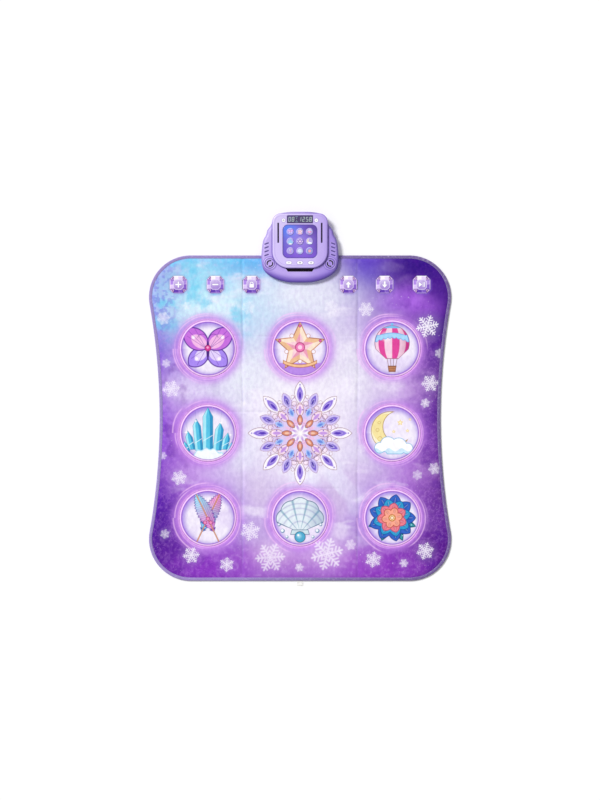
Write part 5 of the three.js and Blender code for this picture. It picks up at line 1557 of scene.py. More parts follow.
def tier_colour_and_shade(points):
    """The tier's colours: lavender, with painted light on its upper left, painted shade on its right side,
    on the lip's slope, at its foot, round the deck and in each groove, slot and vent, and painted highlights
    along the edges that stand up."""
    x, y, z = points.T
    ink = Print(x, y, colour_of("console", "tier_colour"), 0.4)
    ink.lay(0.5 * smooth(clouds(x, y, 70, 131, 3), 0.35, 0.7), "#bfaaea")
    front = smooth((BACK_EDGE - y) / (BACK_EDGE - TIER_FRONT), 0.3, 0.8)
    right = smooth(x, -20, 100)
    # Painted shade, darker towards the right side.
    ink.lay(0.65 * right, "#8a6fd0")
    # Painted light, paler towards the upper left.
    ink.lay(0.6 * smooth(y - x, BACK_EDGE + 60, BACK_EDGE + 210), "#cdbfe6")
    inset = tier_inset(x, y)
    # Painted shade on the front lip's slope and along the outer edge.
    ink.lay(0.9 * front * smooth(inset, 24, 4), "#6a4bba")
    ink.lay(0.8 * smooth(inset, 8, 0) * (0.4 + 0.6 * np.maximum(front, right)), "#371f8c")
    # Painted shade low on the tier's walls, darkest at its foot.
    ink.lay(0.5 * smooth(z, TIER_LOW + 5, TIER_LOW), "#5a43ac")
    ink.lay(0.8 * smooth(z, TIER_LOW + 1, TIER_LOW), "#2c1a66")
    vents = vent_distance(x, y)
    # Painted shade down in each vent, and a painted highlight along its edge.
    ink.lay(0.95 * (1 - smooth(vents, -0.9, 0.4)), "#432b80")
    ink.lay(0.5 * bell(vents - 0.9, 0.5), "#d3c3f5")
    for _, radius, _ in port_places(x, y):
        groove = bell(radius - sum(PORT_GROOVE) / 2, 1.1)
        # Painted shade in each port's groove, a painted highlight on its rim, and painted shade round its
        # foot.
        ink.lay(0.9 * groove, "#46298a")
        ink.lay(0.7 * bell(radius - PORT_RADIUS + 0.8, 0.8), "#d3c3f5")
        ink.lay(0.7 * bell(radius - PORT_RADIUS - 1.2, 1.4), "#7252ba")
    slots = np.abs(np.minimum(front_slot_distance(x, y), port_slot_distance(x, y)))
    # A painted highlight along the edges of the slots, painted shade round the deck's foot, and near-black
    # painted shade down inside the slots.
    ink.lay(0.6 * bell(slots, 0.6) * (z > ROOF_Z - 1), "#d3c3f5")
    ink.lay(0.9 * bell(deck_distance(x, y), 1.6), "#4b2c93")
    ink.lay(0.95 * (z < ROOF_Z - 3) * (slots < 0.6), "#241030")
    return ink.colours


def deck_colour_and_shade(points):
    """The deck's colours: pale lavender, with a faint line inside its edge, painted light on its upper left,
    and painted shade on its right side, along its edge and on the edge's slope, round each opening and down
    inside it."""
    x, y, z = points.T
    ink = Print(x, y, colour_of("console", "deck_colour"), 0.4)
    ink.lay(0.5 * smooth(clouds(x, y, 60, 137, 3), 0.35, 0.7), "#c3b1ee")
    # Painted light, paler towards the upper left.
    ink.lay(0.5 * smooth(y - x, BACK_EDGE + 60, BACK_EDGE + 190), "#dccfee")
    inset = -deck_distance(x, y)
    right = smooth(x, 10, 80)
    # Painted shade, darker towards the right side.
    ink.lay(0.6 * right, "#a58bdc")
    ink.lay(0.6 * bell(inset - 7.5, 0.7), "#9a83d6")
    # Painted shade along the edge, wider on the right, and down the edge's slope.
    ink.lay(0.8 * smooth(inset, 2.4 + 3 * right, 0.2), "#866ac8")
    ink.lay(0.8 * smooth(z, DECK_TOP - 1.2, ROOF_Z + 1) * (inset < 3), "#5b3fa8")
    holes = deck_holes(x, y)
    # Painted shade round each opening, and near-black painted shade down inside it.
    ink.lay(0.45 * bell(holes, 1.1), "#8a70cc")
    ink.lay(0.9 * ((z < DECK_TOP - 1.5) & (inset > 4)), "#3a1b4a")
    return ink.colours


BUTTON_SYMBOLS = {
    "power": lambda x, y: np.minimum(
        np.maximum(np.abs(np.hypot(x, y) - 1.7) - 0.28, y - 1.1), rounded_box(x, y - 1.3, 0.28, 1.1, 0.1)
    ),
    "mode": lambda x, y: np.minimum(np.hypot(np.abs(x) - 1.3, y) - 0.5, np.hypot(x, y) - 0.5),
    "volume_down": lambda x, y: rounded_box(x, y, 2.1, 0.4, 0.2),
    "song": lambda x, y: np.minimum(
        polygon(x, y, ((-1.6, -1.8), (1.2, 0), (-1.6, 1.8))), rounded_box(x - 1.8, y, 0.35, 1.8, 0.1)
    ),
    "volume_up": lambda x, y: np.minimum(
        rounded_box(x, y, 2.1, 0.4, 0.2), rounded_box(x, y, 0.4, 2.1, 0.2)
    ),
}


def button_print(button, x, y):
    """A console button's colours: white, shaded at its edge, with a dark symbol."""
    ink = Print(x, y, colour_of("console", "button_colour"), 0.2)
    # Painted shade towards the button's edge.
    ink.lay(0.35 * smooth(-BUTTONS[button][1](x, y), 0.9, 0), "#b9a8dc")
    ink.shape(BUTTON_SYMBOLS[button](x, y) - 0.15, "#221f33")
    return ink.colours


# Digits of the display as lit segments: top, upper left, upper right, middle, lower left, lower
# right, bottom.
DIGIT_SEGMENTS = {"0": "1110111", "1": "0010010", "2": "1011101", "8": "1111111", "5": "1101011"}
# The digits shown, each with its place along the display, and half a digit's size.
DISPLAY_DIGITS = (("0", -29), ("8", -19.5), ("1", 0), ("2", 10), ("5", 20), ("8", 29.5))
DIGIT_HALF = (3.1, 6.6)


def display_print(x, y):
    """The display's colours: a dark film with faint unlit segments and pale green lit ones."""
    ink = Print(x, y, "#2b1850", 0.25)
    ink.lay(0.6 * smooth(clouds(x, y, 30, 111, 2), 0.4, 0.7), "#472c86")
    half_x, half_y = DIGIT_HALF
    places = ((-1, 1), (1, 1), (-1, 0), (1, 0), (-1, -1), (1, -1))
    top_left, top_right, left, right, low_left, low_right = [(a * half_x, b * half_y) for a, b in places]
    bars = (
        (top_left, top_right), (top_left, left), (top_right, right), (left, right),
        (left, low_left), (right, low_right), (low_left, low_right),
    )
    for digit, place in DISPLAY_DIGITS:
        u, v = x - place - 0.1 * y, y
        for bar, lit in zip(bars, DIGIT_SEGMENTS[digit]):
            distance = segment(u, v, *[(0.82 * a, 0.86 * b) for a, b in bar]) - 0.7
            ink.shape(distance, "#9db0ac" if lit == "1" else "#3b2d66", 1.0 if lit == "1" else 0.6)
    ink.disc(x + 9.5, np.abs(y) - 3, 0.9, "#9db0ac")
    ink.shape(rounded_box(x + 9.5, y, 3.4, 8.6, 1) + 100 * (np.abs(y) < 6), "#6c7f9a", 0.7)
    return ink.colours


# Patches of the icon window's field: place, size, strength, colour.
ICON_PATCHES = (
    ((-38, 34), (34, 40), 1.0, "#3d6fe2"),
    ((-46, -10), (18, 34), 0.9, "#4a3fb4"),
    ((40, 36), (32, 34), 1.0, "#43198e"),
    ((48, -10), (16, 40), 0.9, "#4d249c"),
    ((8, -40), (48, 20), 0.9, "#6a3cc2"),
    ((-12, 30), (20, 16), 0.5, "#6f7fe6"),
    ((0, -2), (34, 30), 0.6, "#9a80dc"),
)
ICON_SCALE = 6.4


def icon_light(ink, pad, x, y):
    """One round light of the icon window, seen from its middle: a pad's motif small, in a rim lit from
    the upper left."""
    near = np.hypot(x, y) < 13.5
    radius, u, v = np.hypot(x, y)[near], x[near] * ICON_SCALE, y[near] * ICON_SCALE
    small = Print(u, v, "#000000", 0.35 * ICON_SCALE)
    small.colours = ink.colours[near].copy()
    small.lay(0.45 * (1 - smooth(radius, 8.6, 10.4)), "#bfb4ea")
    if pad in MOTIFS:
        MOTIFS[pad][0](small, u * 1.12, v * 1.12)
        small.lay(0.3 * (1 - smooth(radius, 9.5, 11)), "#aaa4e2")
    else:
        small_rosette(small, u * 1.1, v * 1.1)
    rim, lit = bell(radius - 10, 1.1), v - u
    small.lay(0.95 * rim * smooth(lit, 60, -60), "#271569")
    small.lay(0.6 * rim * smooth(lit, -30, 70), "#e2d5f8")
    within = (1 - smooth(radius, 10, 11))[:, None]
    ink.colours[near] += within * (small.colours - ink.colours[near])


def icon_print(x, y):
    """The icon window's colours: a blue to violet field, with the nine motifs small in round lights."""
    ink = Print(x, y, "#5c33b6", 0.3)
    warp = [20 * (clouds(x, y, 34, seed, 3) - 0.5) for seed in (121, 127)]
    for place, size, strength, colour in ICON_PATCHES:
        ink.blob(place, size, colour, strength, warp=warp)
    ink.lay(0.8 * smooth(rounded_box(x, y, *ICON_HALF, ICON_CORNER), -3.2, -0.4), "#2c1873")
    for i, row in enumerate(ROWS):
        for j, column in enumerate(COLUMNS):
            icon_light(ink, f"{row}_{column}", x - (j - 1) * LIGHT_PITCH, y - (i - 1) * LIGHT_PITCH)
    return ink.colours


# Materials. Effects that several of them share are node groups, which put out heights and masks.


def rgba(colour):
    """A colour, which may be written as #rrggbb, with full cover."""
    return (*(tone(colour) if isinstance(colour, str) else colour), 1)


class Nodes:
    """The nodes of a material, a world or a shared effect. Each function adds to them."""

    def __init__(self, tree):
        self.tree = tree

    def join(self, socket, value):
        """Sets a socket to a value, or links it to another node's output."""
        if isinstance(value, bpy.types.NodeSocket):
            self.tree.links.new(value, socket)
        else:
            socket.default_value = value

    def put(self, kind, settings=None, inputs=None):
        """The outputs of a new node. An input takes a value or another node's output."""
        node = self.tree.nodes.new("ShaderNode" + kind)
        for name, value in (settings or {}).items():
            setattr(node, name, value)
        for name, value in (inputs or {}).items():
            self.join(node.inputs[name], value)
        return node.outputs

    def math(self, operation, *values):
        """A Math node's result."""
        return self.put("Math", {"operation": operation}, dict(enumerate(values)))[0]

    def total(self, *parts):
        """The sum of values, each times its weight."""
        products = [self.math("MULTIPLY", *part) for part in parts]
        result = products[0]
        for product in products[1:]:
            result = self.math("ADD", result, product)
        return result

    def ramp(self, value, low_in, high_in, low_out=0.0, high_out=1.0):
        """A value moved smoothly from one range to another."""
        inputs = {"Value": value, "From Min": low_in, "From Max": high_in}
        inputs |= {"To Min": low_out, "To Max": high_out}
        return self.put("MapRange", {"interpolation_type": "SMOOTHSTEP"}, inputs)[0]

    def mix(self, share, first, second, kind="MIX"):
        """Two colours mixed by a share."""
        first, second = [c if isinstance(c, bpy.types.NodeSocket) else rgba(c) for c in (first, second)]
        settings = {"data_type": "RGBA", "blend_type": kind}
        return self.put("Mix", settings, {0: share, 6: first, 7: second})[2]

    def millimetres(self):
        """The piece's own coordinates in millimetres."""
        place = self.put("TexCoord")["Object"]
        return self.put("VectorMath", {"operation": "SCALE"}, {0: place, "Scale": 1 / MM})[0]

    def axes(self):
        """The piece's own x, y and z in millimetres."""
        return self.put("SeparateXYZ", None, {0: self.millimetres()})

    def texture(self, kind, settings, **inputs):
        """The first output of a texture over the piece's own coordinates."""
        return self.put("Tex" + kind, settings, {"Vector": self.millimetres(), **inputs})[0]

    def grain(self, size, detail=2.0, stretch=None):
        """Noise at about that size, from 0 to 1, stretched if asked."""
        place = self.millimetres()
        if stretch:
            place = self.put("VectorMath", {"operation": "MULTIPLY"}, {0: place, 1: stretch})[0]
        scale = self.math("DIVIDE", 1.0, size) if isinstance(size, bpy.types.NodeSocket) else 1 / size
        return self.put("TexNoise", None, {"Vector": place, "Scale": scale, "Detail": detail})[0]

    def effect(self, maker, **values):
        """The outputs of a shared effect."""
        node = self.tree.nodes.new("ShaderNodeGroup")
        node.node_tree = effect_group(maker)
        for name, value in values.items():
            node.inputs[name].default_value = value
        return node.outputs

    def bump(self, height, depth, strength=1.0):
        """A normal from a height, depth millimetres deep."""
        return self.put("Bump", None, {"Height": height, "Distance": depth * MM, "Strength": strength})[0]

    def printed(self):
        """The colour painted at a piece's points."""
        return self.put("VertexColor", {"layer_name": "print"})["Color"]


GROUPS = {}


def effect_group(maker):
    """The node group of a shared effect, made once. Its inputs are the maker's own, with their defaults,
    and its outputs are what the maker gives."""
    if maker not in GROUPS:
        group = bpy.data.node_groups.new(maker.__name__, "ShaderNodeTree")
        for name, value in maker.__kwdefaults__.items():
            socket = group.interface.new_socket(name, in_out="INPUT", socket_type="NodeSocketFloat")
            socket.default_value = value
        entry, out = group.nodes.new("NodeGroupInput"), group.nodes.new("NodeGroupOutput")
        given = {name: entry.outputs[name] for name in maker.__kwdefaults__}
        for name, value in maker(Nodes(group), **given).items():
            group.interface.new_socket(name, in_out="OUTPUT", socket_type="NodeSocketFloat")
            group.links.new(value, out.inputs[name])
        GROUPS[maker] = group
    return GROUPS[maker]


def plush_nap(n, *, size=0.9):
    """Short plush: tufts about size wide that lean in slow swirls."""
    tufts = n.texture("Voronoi", {"feature": "F1"}, Scale=n.math("DIVIDE", 1.0, size))
    lean = n.grain(9.0, 3.0, (1.0, 0.55, 1.0))
    height = n.total((tufts, -0.6), (n.grain(0.5), 0.4), (lean, 0.7))
    return dict(height=height, shade=n.ramp(lean, 0.3, 0.7))


def plain_weave(n, *, pitch=0.8, rib=1.0):
    """Plain weave: threads that cross at pitch, each a sine, uneven by noise."""
    uneven = n.grain(6.0)
    axes = n.axes()
    turn = n.math("DIVIDE", 2 * np.pi, pitch)
    waves = []
    for axis, strength in (("X", 1.0), ("Y", rib)):
        phase = n.math("ADD", n.math("MULTIPLY", axes[axis], turn), uneven)
        waves.append(n.math("MULTIPLY", n.math("SINE", phase), strength))
    height = n.math("MULTIPLY", waves[0], n.math("ADD", waves[1], 0.25))
    return dict(height=height, gap=n.ramp(height, 0.1, -0.8))


def moulded_grain(n, *, size=0.35):
    """Moulded plastic: a fine eroded grain about size wide, and slow smudges."""
    smudge = n.math("MULTIPLY", n.grain(24.0, 4.0), n.grain(5.0, 3.0, (1, 0.3, 1)))
    return dict(height=n.grain(size, 3.0), smudge=n.ramp(smudge, 0.16, 0.38))


def rubber_dots(n, *, pitch=7.0, radius=1.3):
    """Rubber dots in rows pitch apart: each cell's distance from its middle."""
    axes = n.axes()
    row = n.math("DIVIDE", axes["Y"], pitch)
    offset = n.math("MULTIPLY", n.math("MODULO", n.math("FLOOR", row), 2.0), 0.5)
    column = n.math("ADD", n.math("DIVIDE", axes["X"], pitch), offset)
    off = [n.math("SUBTRACT", n.math("FRACT", v), 0.5) for v in (column, row)]
    square = n.math("ADD", *[n.math("POWER", v, 2.0) for v in off])
    reach = n.math("MULTIPLY", n.math("SQRT", square), pitch)
    return dict(dot=n.ramp(n.math("SUBTRACT", reach, radius), 0.25, -0.25))


# Each finish gives the inputs of its Principled shader. An underscore in a name stands for a space.


def printed_plush(n):
    """Printed short plush: the print, dulled and lightened as the nap leans, with sheen."""
    nap = n.effect(plush_nap, size=size_of("cloth", "nap_size"))
    darker = n.mix(1.0, n.printed(), (0.9, 0.88, 0.93), "MULTIPLY")
    return dict(
        Base_Color=n.mix(nap["shade"], darker, n.printed()), Roughness=n.ramp(nap["shade"], 0, 1, 0.95, 0.75),
        Sheen_Weight=0.08, Sheen_Roughness=0.4, Specular_IOR_Level=0.12,
        Normal=n.bump(nap["height"], 0.4, 0.7),
    )


def backing_cloth(n):
    """Dark woven cloth with small rubber dots, paler dust in its weave."""
    weave, dot = n.effect(plain_weave, pitch=0.9), n.effect(rubber_dots)["dot"]
    cloth = n.mix(weave["gap"], colour_of("cloth", "backing_colour"), "#2a2633")
    cloth = n.mix(n.ramp(n.grain(40.0, 4.0), 0.5, 0.8, 0.0, 0.35), cloth, "#7a7486")
    return dict(
        Base_Color=n.mix(dot, cloth, "#1d1b23"), Roughness=n.ramp(dot, 0, 1, 0.9, 0.45), Sheen_Weight=0.15,
        Normal=n.bump(n.total((weave["height"], 0.25), (dot, 1.2)), 0.4),
    )


def binding_tape(n):
    """Woven polyester tape with ribs, scuffed paler along its folded edge, with painted shade that deepens to
    the right.
    """
    weave = n.effect(plain_weave, pitch=0.7, rib=0.6)
    # Painted shade: the tape darkens towards the right side of the mat.
    right_shade = n.ramp(n.axes()["X"], -260, 330, 0.0, 0.8)
    shaded_tape = n.mix(right_shade, colour_of("cloth", "tape_colour"), "#5c4180")
    woven = n.mix(n.math("MULTIPLY", weave["gap"], 0.7), shaded_tape, "#6a5799")
    wear = n.ramp(n.grain(7.0, 4.0), 0.48, 0.75, 0.0, 0.35)
    return dict(
        Base_Color=n.mix(wear, woven, "#c2b6dd"), Roughness=0.82, Sheen_Weight=0.2, Sheen_Roughness=0.5,
        Normal=n.bump(weave["height"], 0.18),
    )


def binding_thread(n):
    """Twisted thread: slanted plies, a little shiny."""
    plies = n.texture("Wave", {"bands_direction": "DIAGONAL"}, Scale=1.1, Distortion=0.6)
    colour = n.mix(plies, "#7d6cab", "#bfb2e0")
    return dict(Base_Color=colour, Roughness=0.55, Sheen_Weight=0.2, Normal=n.bump(plies, 0.15))


def label_cloth(n):
    """Bare white satin tape: close ribs that shine across."""
    weave = n.effect(plain_weave, pitch=0.35, rib=0.3)
    colour = n.mix(n.ramp(n.grain(5.0, 3.0), 0.4, 0.7), "#f3f2ef", "#e0ded9")
    colour = n.mix(weave["gap"], colour, "#cfccc6")
    return dict(Base_Color=colour, Roughness=0.42, Sheen_Weight=0.2, Normal=n.bump(weave["height"], 0.06))


def spacer_foam(n):
    """White foam sheet with open pores."""
    pores = n.texture("Voronoi", {"feature": "F1"}, Scale=1.3)
    colour = n.mix(n.ramp(pores, 0.1, 0.5), "#c9c5d0", "#ece9f0")
    return dict(Base_Color=colour, Roughness=0.92, Subsurface_Weight=0.08, Normal=n.bump(pores, 0.4, 0.7))


def sensor_film(n):
    """Clear polyester film with printed silver tracks that run across it."""
    tracks = n.texture("Wave", {"bands_direction": "Y"}, Scale=0.055, Distortion=0.0)
    lit, haze = n.ramp(tracks, 0.86, 0.92), n.grain(18.0, 4.0)
    return dict(
        Base_Color=n.mix(lit, n.mix(haze, "#cdd6db", "#e3eaee"), "#aeb4bb"),
        Metallic=n.math("MULTIPLY", lit, 0.8), Roughness=n.ramp(haze, 0.3, 0.7, 0.12, 0.3),
        Coat_Weight=0.3, Normal=n.bump(lit, 0.05),
    )


def moulded(n, grain=0.35, depth=0.03, roughness=(0.34, 0.52), coat=0.12, base=None, worn=None):
    """Moulded plastic: a fine grain, with smudges that change its shine. Its colour is painted at its
    points, or is base rubbed to worn."""
    mould = n.effect(moulded_grain, size=grain)
    colour = n.mix(n.ramp(n.grain(60.0, 3.0), 0.35, 0.75, 0, 0.8), base, worn) if base else n.printed()
    speck = n.mix(1.0, colour, (0.93, 0.92, 0.95), "MULTIPLY")
    return dict(
        Base_Color=n.mix(n.ramp(mould["height"], 0.35, 0.62), speck, colour),
        Roughness=n.ramp(mould["smudge"], 0, 1, *roughness),
        Coat_Weight=coat, Coat_Roughness=0.3, Normal=n.bump(mould["height"], depth),
    )


def lens(n, glow):
    """A printed window: glossy, with faint smudges, and lit a little from behind."""
    mould = n.effect(moulded_grain, size=3.0)
    return dict(
        Base_Color=n.printed(), Roughness=n.ramp(mould["smudge"], 0, 1, 0.07, 0.2), Coat_Weight=0.5,
        Coat_Roughness=0.05, Emission_Color=n.printed(), Emission_Strength=glow,
        Normal=n.bump(mould["height"], 0.01),
    )


def circuit_board(n):
    """Green board: tracks under the mask as turning lines, pale pads, and fibre grain."""
    maze = n.texture("Voronoi", {"feature": "F1", "distance": "MANHATTAN"}, Scale=0.22)
    tracks = n.ramp(n.math("PINGPONG", maze, 0.14), 0.06, 0.1)
    holes = n.ramp(maze, 0.16, 0.1)
    return dict(
        Base_Color=n.mix(holes, n.mix(tracks, "#1c5a38", "#2f7d50"), "#c9ccc4"),
        Metallic=n.math("MULTIPLY", holes, 0.8), Roughness=n.ramp(n.grain(1.2), 0.3, 0.7, 0.25, 0.45),
        Coat_Weight=0.4, Normal=n.bump(tracks, 0.05),
    )


def speaker_black(n):
    """Black paper cone: stretched fibres."""
    fibres = n.grain(0.6, 4.0, (1, 0.3, 1))
    colour = n.mix(n.ramp(fibres, 0.35, 0.7), "#1a191e", "#34323b")
    return dict(Base_Color=colour, Roughness=n.ramp(fibres, 0, 1, 0.5, 0.85), Normal=n.bump(fibres, 0.1))


def cell_jacket(n):
    """Plain sleeve of a battery cell: a film of dark grey with rubbed shine."""
    rub = n.grain(3.0, 4.0, (0.15, 1, 1))
    return dict(
        Base_Color=n.mix(n.ramp(rub, 0.4, 0.7), "#474c56", "#5c616b"), Metallic=0.2,
        Roughness=n.ramp(rub, 0.3, 0.7, 0.25, 0.45), Coat_Weight=0.3, Normal=n.bump(rub, 0.03),
    )


def screw_steel(n):
    """Zinc-plated steel: brushed lines and duller patches."""
    dull = n.grain(1.6, 3.0)
    return dict(
        Base_Color=n.mix(n.ramp(dull, 0.45, 0.7), "#bcbfc6", "#8f9298"), Metallic=1.0,
        Roughness=n.ramp(dull, 0.3, 0.7, 0.28, 0.5), Normal=n.bump(n.grain(0.25, 2.0, (1, 0.1, 1)), 0.02),
    )


def grille_cloth(n):
    """Open black speaker cloth, also laid as the dark sheets that stand for the shade inside the slots."""
    weave = n.effect(plain_weave, pitch=0.6)
    colour = n.mix(weave["gap"], "#2a1830", "#0e0812")
    return dict(Base_Color=colour, Roughness=0.9, Sheen_Weight=0.1, Normal=n.bump(weave["height"], 0.15))


# The maker of each material slot of the record, and its settings.
FINISHES = {
    "printed_plush": (printed_plush, {}),
    "backing_cloth": (backing_cloth, {}),
    "binding_tape": (binding_tape, {}),
    "binding_thread": (binding_thread, {}),
    "label_cloth": (label_cloth, {}),
    "spacer_foam": (spacer_foam, {}),
    "sensor_film": (sensor_film, {}),
    "console_shell": (moulded, {}),
    "console_base": (moulded, dict(base="#8c73d0", worn="#9e86dc")),
    "console_deck": (moulded, dict(grain=0.3, depth=0.02)),
    "button_white": (moulded, dict(grain=0.5, depth=0.01, roughness=(0.22, 0.36), coat=0.35)),
    "display_lens": (lens, dict(glow=0.25)),
    "icon_lens": (lens, dict(glow=0.12)),
    "display_body": (moulded, dict(grain=0.25, base="#1d1b22", worn="#26242c")),
    "circuit_board": (circuit_board, {}),
    "speaker_black": (speaker_black, {}),
    "keypad_rubber": (
        moulded, dict(grain=0.8, roughness=(0.6, 0.75), coat=0, base="#d9d5e2", worn="#c8c3d4")
    ),
    "cell_jacket": (cell_jacket, {}),
    "screw_steel": (screw_steel, {}),
    "grille_cloth": (grille_cloth, {}),
}
# CAD nodes whose plastic isn't painted at its points take this in place of their slot.
UNPAINTED = {"console_shell": "console_base"}
MADE = {}


def new_material(name, maker, **settings):
    """A material whose Principled shader takes what its maker gives."""
    material = bpy.data.materials.new(name)
    material.use_nodes = True
    n = Nodes(material.node_tree)
    sockets = material.node_tree.nodes["Principled BSDF"].inputs
    for socket, value in maker(n, **settings).items():
        n.join(sockets[socket.replace("_", " ")], value)
    return material


def finish(slot):
    """The material of a slot, made once."""
    if slot not in MADE:
        maker, settings = FINISHES[slot]
        MADE[slot] = new_material(slot + "_finish", maker, **settings)
    return MADE[slot]


# The panel in the sidebar, and the operators it lists.


class DANCEMAT_OT_cover(bpy.types.Operator):
    """Printed cover: three panels, and a strip at each fold line"""

    bl_idname = "dancemat.cover"
    bl_label = "Add Cover"
    bl_options = {"REGISTER", "UNDO"}

    def execute(self, context):
        for panel, body in PANELS.items():
            item = cover_piece(f"cover_cloth_{panel}", panel_xs(panel))
            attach(item, body)
            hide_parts(f"cover_{panel}")
        for side in ("left", "right"):
            bend_over_fold(cover_piece(f"cover_fold_{side}", strip_xs(side)))
        return {"FINISHED"}


class DANCEMAT_OT_pads(bpy.types.Operator):
    """Nine printed step pads"""

    bl_idname = "dancemat.pads"
    bl_label = "Add Step Pads"
    bl_options = {"REGISTER", "UNDO"}

    def execute(self, context):
        for seed, pad in enumerate(PADS):
            step_pad(pad, 40 + seed)
        return {"FINISHED"}


class DANCEMAT_OT_keys(bpy.types.Operator):
    """Six printed touch keys"""

    bl_idname = "dancemat.keys"
    bl_label = "Add Touch Keys"
    bl_options = {"REGISTER", "UNDO"}

    def execute(self, context):
        for seed, key in enumerate(KEYS):
            touch_key(key, 60 + seed)
        return {"FINISHED"}


class DANCEMAT_OT_tape(bpy.types.Operator):
    """Binding tape and its stitches"""

    bl_idname = "dancemat.tape"
    bl_label = "Add Binding Tape"
    bl_options = {"REGISTER", "UNDO"}

    def execute(self, context):
        outline = outline_run()
        for side, sign in (("right", 1), ("left", -1)):
            bound_side(side, f"{side}_panel", *[(values * (sign, 1))[::sign] for values in outline])
            for end in ("back", "front"):
                left, right = sorted((sign * STRIP_IN, sign * STRIP_OUT))
                item = tape_piece(f"tape_fold_{side}_{end}", *straight_run(end, left, right))
                bend_over_fold(item)
        for end in ("back", "front"):
            bound_side(end, "middle_panel", *straight_run(end, -STRIP_IN, STRIP_IN))
        return {"FINISHED"}


class DANCEMAT_OT_backing(bpy.types.Operator):
    """Backing cloth in three panels and two fold strips, and the care label"""

    bl_idname = "dancemat.backing"
    bl_label = "Add Backing"
    bl_options = {"REGISTER", "UNDO"}

    def execute(self, context):
        for panel, body in PANELS.items():
            item = backing_piece(f"backing_cloth_{panel}", panel_xs(panel, 3 * COVER_STEP))
            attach(item, body)
            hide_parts(f"backing_{panel}")
        for side in ("left", "right"):
            bend_over_fold(backing_piece(f"backing_fold_{side}", strip_xs(side)))
        item = label_piece()
        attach(item, "middle_panel")
        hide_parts("care_label")
        return {"FINISHED"}


class DANCEMAT_OT_grilles(bpy.types.Operator):
    """Black speaker cloth behind the console's ports, and dark sheets that stand for the shade inside its
    slots
    """

    bl_idname = "dancemat.grilles"
    bl_label = "Add Slot Cloths"
    bl_options = {"REGISTER", "UNDO"}

    def execute(self, context):
        for number, cloth in enumerate(SPEAKER_AND_SHADE_CLOTHS, 1):
            slot_cloth(f"slot_cloth_{number}", *cloth)
        return {"FINISHED"}


class DANCEMAT_OT_finishes(bpy.types.Operator):
    """Detailed finishes on the CAD nodes that stay: films, foam, shells, boards, cells and screws"""

    bl_idname = "dancemat.finishes"
    bl_label = "Finish CAD Nodes"
    bl_options = {"REGISTER", "UNDO"}

    def execute(self, context):
        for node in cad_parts.values():
            for place in node.material_slots:
                slot = place.material.name.split(".")[0]
                place.material = finish(UNPAINTED.get(slot, slot))
        return {"FINISHED"}


class DANCEMAT_OT_tier(bpy.types.Operator):
    """Console's lower tier, with its ports, vents and front slot"""

    bl_idname = "dancemat.tier"
    bl_label = "Add Console Tier"
    bl_options = {"REGISTER", "UNDO"}

    def execute(self, context):
        xs = steps(-TIER_X - 1, TIER_X + 1, TIER_STEP)
        ys = steps(TIER_FRONT - 1, TIER_BACK + 1, TIER_STEP)
        x, y, faces = fitted_grid(xs, ys, tier_cut)
        points = np.stack([x, y, tier_height(x, y)], 1)
        points, faces = with_walls(points, faces, TIER_LOW + PARTING_RISE)
        points, faces = with_walls(points, faces, TIER_LOW, tuck=tier_tuck)
        shell_piece("console_tier", "console_top_shell", "console_shell", points, faces, tier_colour_and_shade)
        return {"FINISHED"}


class DANCEMAT_OT_deck(bpy.types.Operator):
    """Console's raised deck, with its openings"""

    bl_idname = "dancemat.deck"
    bl_label = "Add Console Deck"
    bl_options = {"REGISTER", "UNDO"}

    def execute(self, context):
        xs = steps(-DECK_X - 1, DECK_X + 1, DECK_STEP)
        ys = steps(DECK_FRONT - 1, DECK_BACK + 1, DECK_STEP)
        x, y, faces = fitted_grid(xs, ys, deck_cut)
        points = np.stack([x, y, deck_height(x, y)], 1)
        points, faces = with_walls(points, faces, deck_foot)
        points, faces = with_walls(points, faces, deck_foot, skip=in_deck_opening, tuck=deck_tuck)
        shell_piece("console_deck", "deck_cover", "console_deck", points, faces, deck_colour_and_shade)
        return {"FINISHED"}


class DANCEMAT_OT_windows(bpy.types.Operator):
    """Display window and icon window"""

    bl_idname = "dancemat.windows"
    bl_label = "Add Windows"
    bl_options = {"REGISTER", "UNDO"}

    def execute(self, context):
        for name, half, corner, paint in (
            ("display", DISPLAY_HALF, DISPLAY_CORNER, display_print),
            ("icon", ICON_HALF, ICON_CORNER, icon_print),
        ):
            window_piece(f"{name}_glass", f"{name}_window", f"{name}_lens", half, corner, paint)
        return {"FINISHED"}


class DANCEMAT_OT_buttons(bpy.types.Operator):
    """Five console buttons"""

    bl_idname = "dancemat.buttons"
    bl_label = "Add Buttons"
    bl_options = {"REGISTER", "UNDO"}

    def execute(self, context):
        for button in BUTTONS:
            button_piece(button)
        return {"FINISHED"}


def studio_white(n):
    """A plain white studio floor, very slightly uneven."""
    colour = n.mix(n.grain(500.0), (0.93, 0.93, 0.93), (0.95, 0.95, 0.95))
    return dict(Base_Color=colour, Roughness=0.9, Specular_IOR_Level=0.1)


def studio_world(strength):
    """Even white light from all round, which looks plain white to the camera and in reflections."""
    world = bpy.data.worlds.new("studio")
    world.use_nodes = True
    n = Nodes(world.node_tree)
    path = n.put("LightPath")
    seen = n.math("MAXIMUM", path["Is Camera Ray"], path["Is Glossy Ray"])
    seen = n.math("MAXIMUM", seen, path["Is Transmission Ray"])
    background = world.node_tree.nodes["Background"].inputs
    background["Color"].default_value = (1, 1, 1, 1)
    n.join(background["Strength"], n.ramp(seen, 0, 1, strength, 1.0))
    return world


# The view's middle along y in millimetres, half the floor's width in metres, and the key light's way.
VIEW_MIDDLE_Y = -3.2
FLOOR_HALF = 14
KEY_LIGHT_WAY = (0.55, -0.5, -0.85)


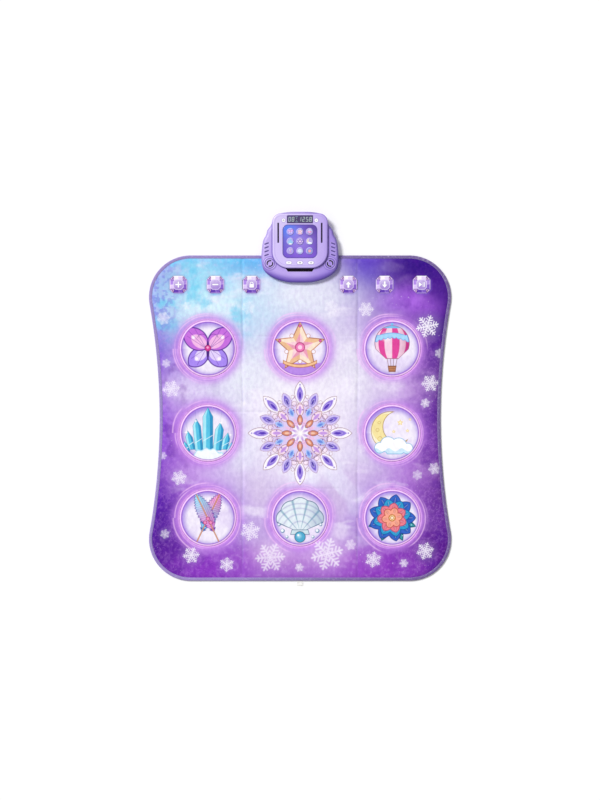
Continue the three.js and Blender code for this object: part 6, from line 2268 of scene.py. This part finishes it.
class DANCEMAT_OT_stage(bpy.types.Operator):
    """Floor, lights and camera at the photograph's view"""

    bl_idname = "dancemat.stage"
    bl_label = "Add Stage"
    bl_options = {"REGISTER", "UNDO"}

    def execute(self, context):
        scene = context.scene
        stage = scene.dancemat_stage
        scene.view_settings.view_transform = "Standard"
        camera = bpy.data.cameras.new("photo_camera")
        camera.lens_unit = "FOV"
        camera.sensor_fit = "HORIZONTAL"
        camera.clip_end = 100
        camera.angle = 2 * np.arctan(stage.view_width / 2 / stage.camera_height)
        view = bpy.data.objects.new("photo_camera", camera)
        view.location = (0, VIEW_MIDDLE_Y * MM, stage.camera_height)
        scene.camera = view
        scene.world = studio_world(stage.sky_strength)
        mesh = bpy.data.meshes.new("floor")
        corners = [(x * FLOOR_HALF, y * FLOOR_HALF, 0) for x, y in ((-1, -1), (1, -1), (1, 1), (-1, 1))]
        mesh.from_pydata(corners, [], [(0, 1, 2, 3)])
        mesh.materials.append(new_material("studio_floor", studio_white))
        floor = bpy.data.objects.new("floor", mesh)
        lamp = bpy.data.lights.new("key_light", "SUN")
        lamp.energy, lamp.angle = stage.sun_strength, stage.sun_softness
        light = bpy.data.objects.new("key_light", lamp)
        light.rotation_euler = Vector(KEY_LIGHT_WAY).to_track_quat("-Z", "Y").to_euler()
        for item in (view, floor, light):
            scene.collection.objects.link(item)
        return {"FINISHED"}


class DANCEMAT_PT_panel(bpy.types.Panel):
    """Sidebar panel with a button for each part of the mat"""

    bl_idname = "DANCEMAT_PT_panel"
    bl_label = "Dance mat"
    bl_space_type = "VIEW_3D"
    bl_region_type = "UI"
    bl_category = "Dance mat"

    def draw(self, context):
        for group, kind in SETTINGS.items():
            box = self.layout.box()
            box.label(text=kind.__doc__)
            for name in kind.__annotations__:
                box.prop(getattr(context.scene, "dancemat_" + group), name)
        for operator in OPERATORS:
            self.layout.operator(operator.bl_idname)


OPERATORS = (
    DANCEMAT_OT_stage,
    DANCEMAT_OT_cover,
    DANCEMAT_OT_pads,
    DANCEMAT_OT_keys,
    DANCEMAT_OT_tape,
    DANCEMAT_OT_backing,
    DANCEMAT_OT_grilles,
    DANCEMAT_OT_tier,
    DANCEMAT_OT_deck,
    DANCEMAT_OT_windows,
    DANCEMAT_OT_buttons,
    DANCEMAT_OT_finishes,
)


def register():
    for cls in (*SETTINGS.values(), *OPERATORS, DANCEMAT_PT_panel):
        bpy.utils.register_class(cls)
    for group, kind in SETTINGS.items():
        setattr(bpy.types.Scene, "dancemat_" + group, bpy.props.PointerProperty(type=kind))


def unregister():
    for group in SETTINGS:
        delattr(bpy.types.Scene, "dancemat_" + group)
    for cls in reversed((*SETTINGS.values(), *OPERATORS, DANCEMAT_PT_panel)):
        bpy.utils.unregister_class(cls)


def main():
    """Registers the add-on and builds the whole mat, one operator after another."""
    register()
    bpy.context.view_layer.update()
    for operator in OPERATORS:
        category, name = operator.bl_idname.split(".")
        getattr(getattr(bpy.ops, category), name)()


if __name__ == "__main__":
    main()
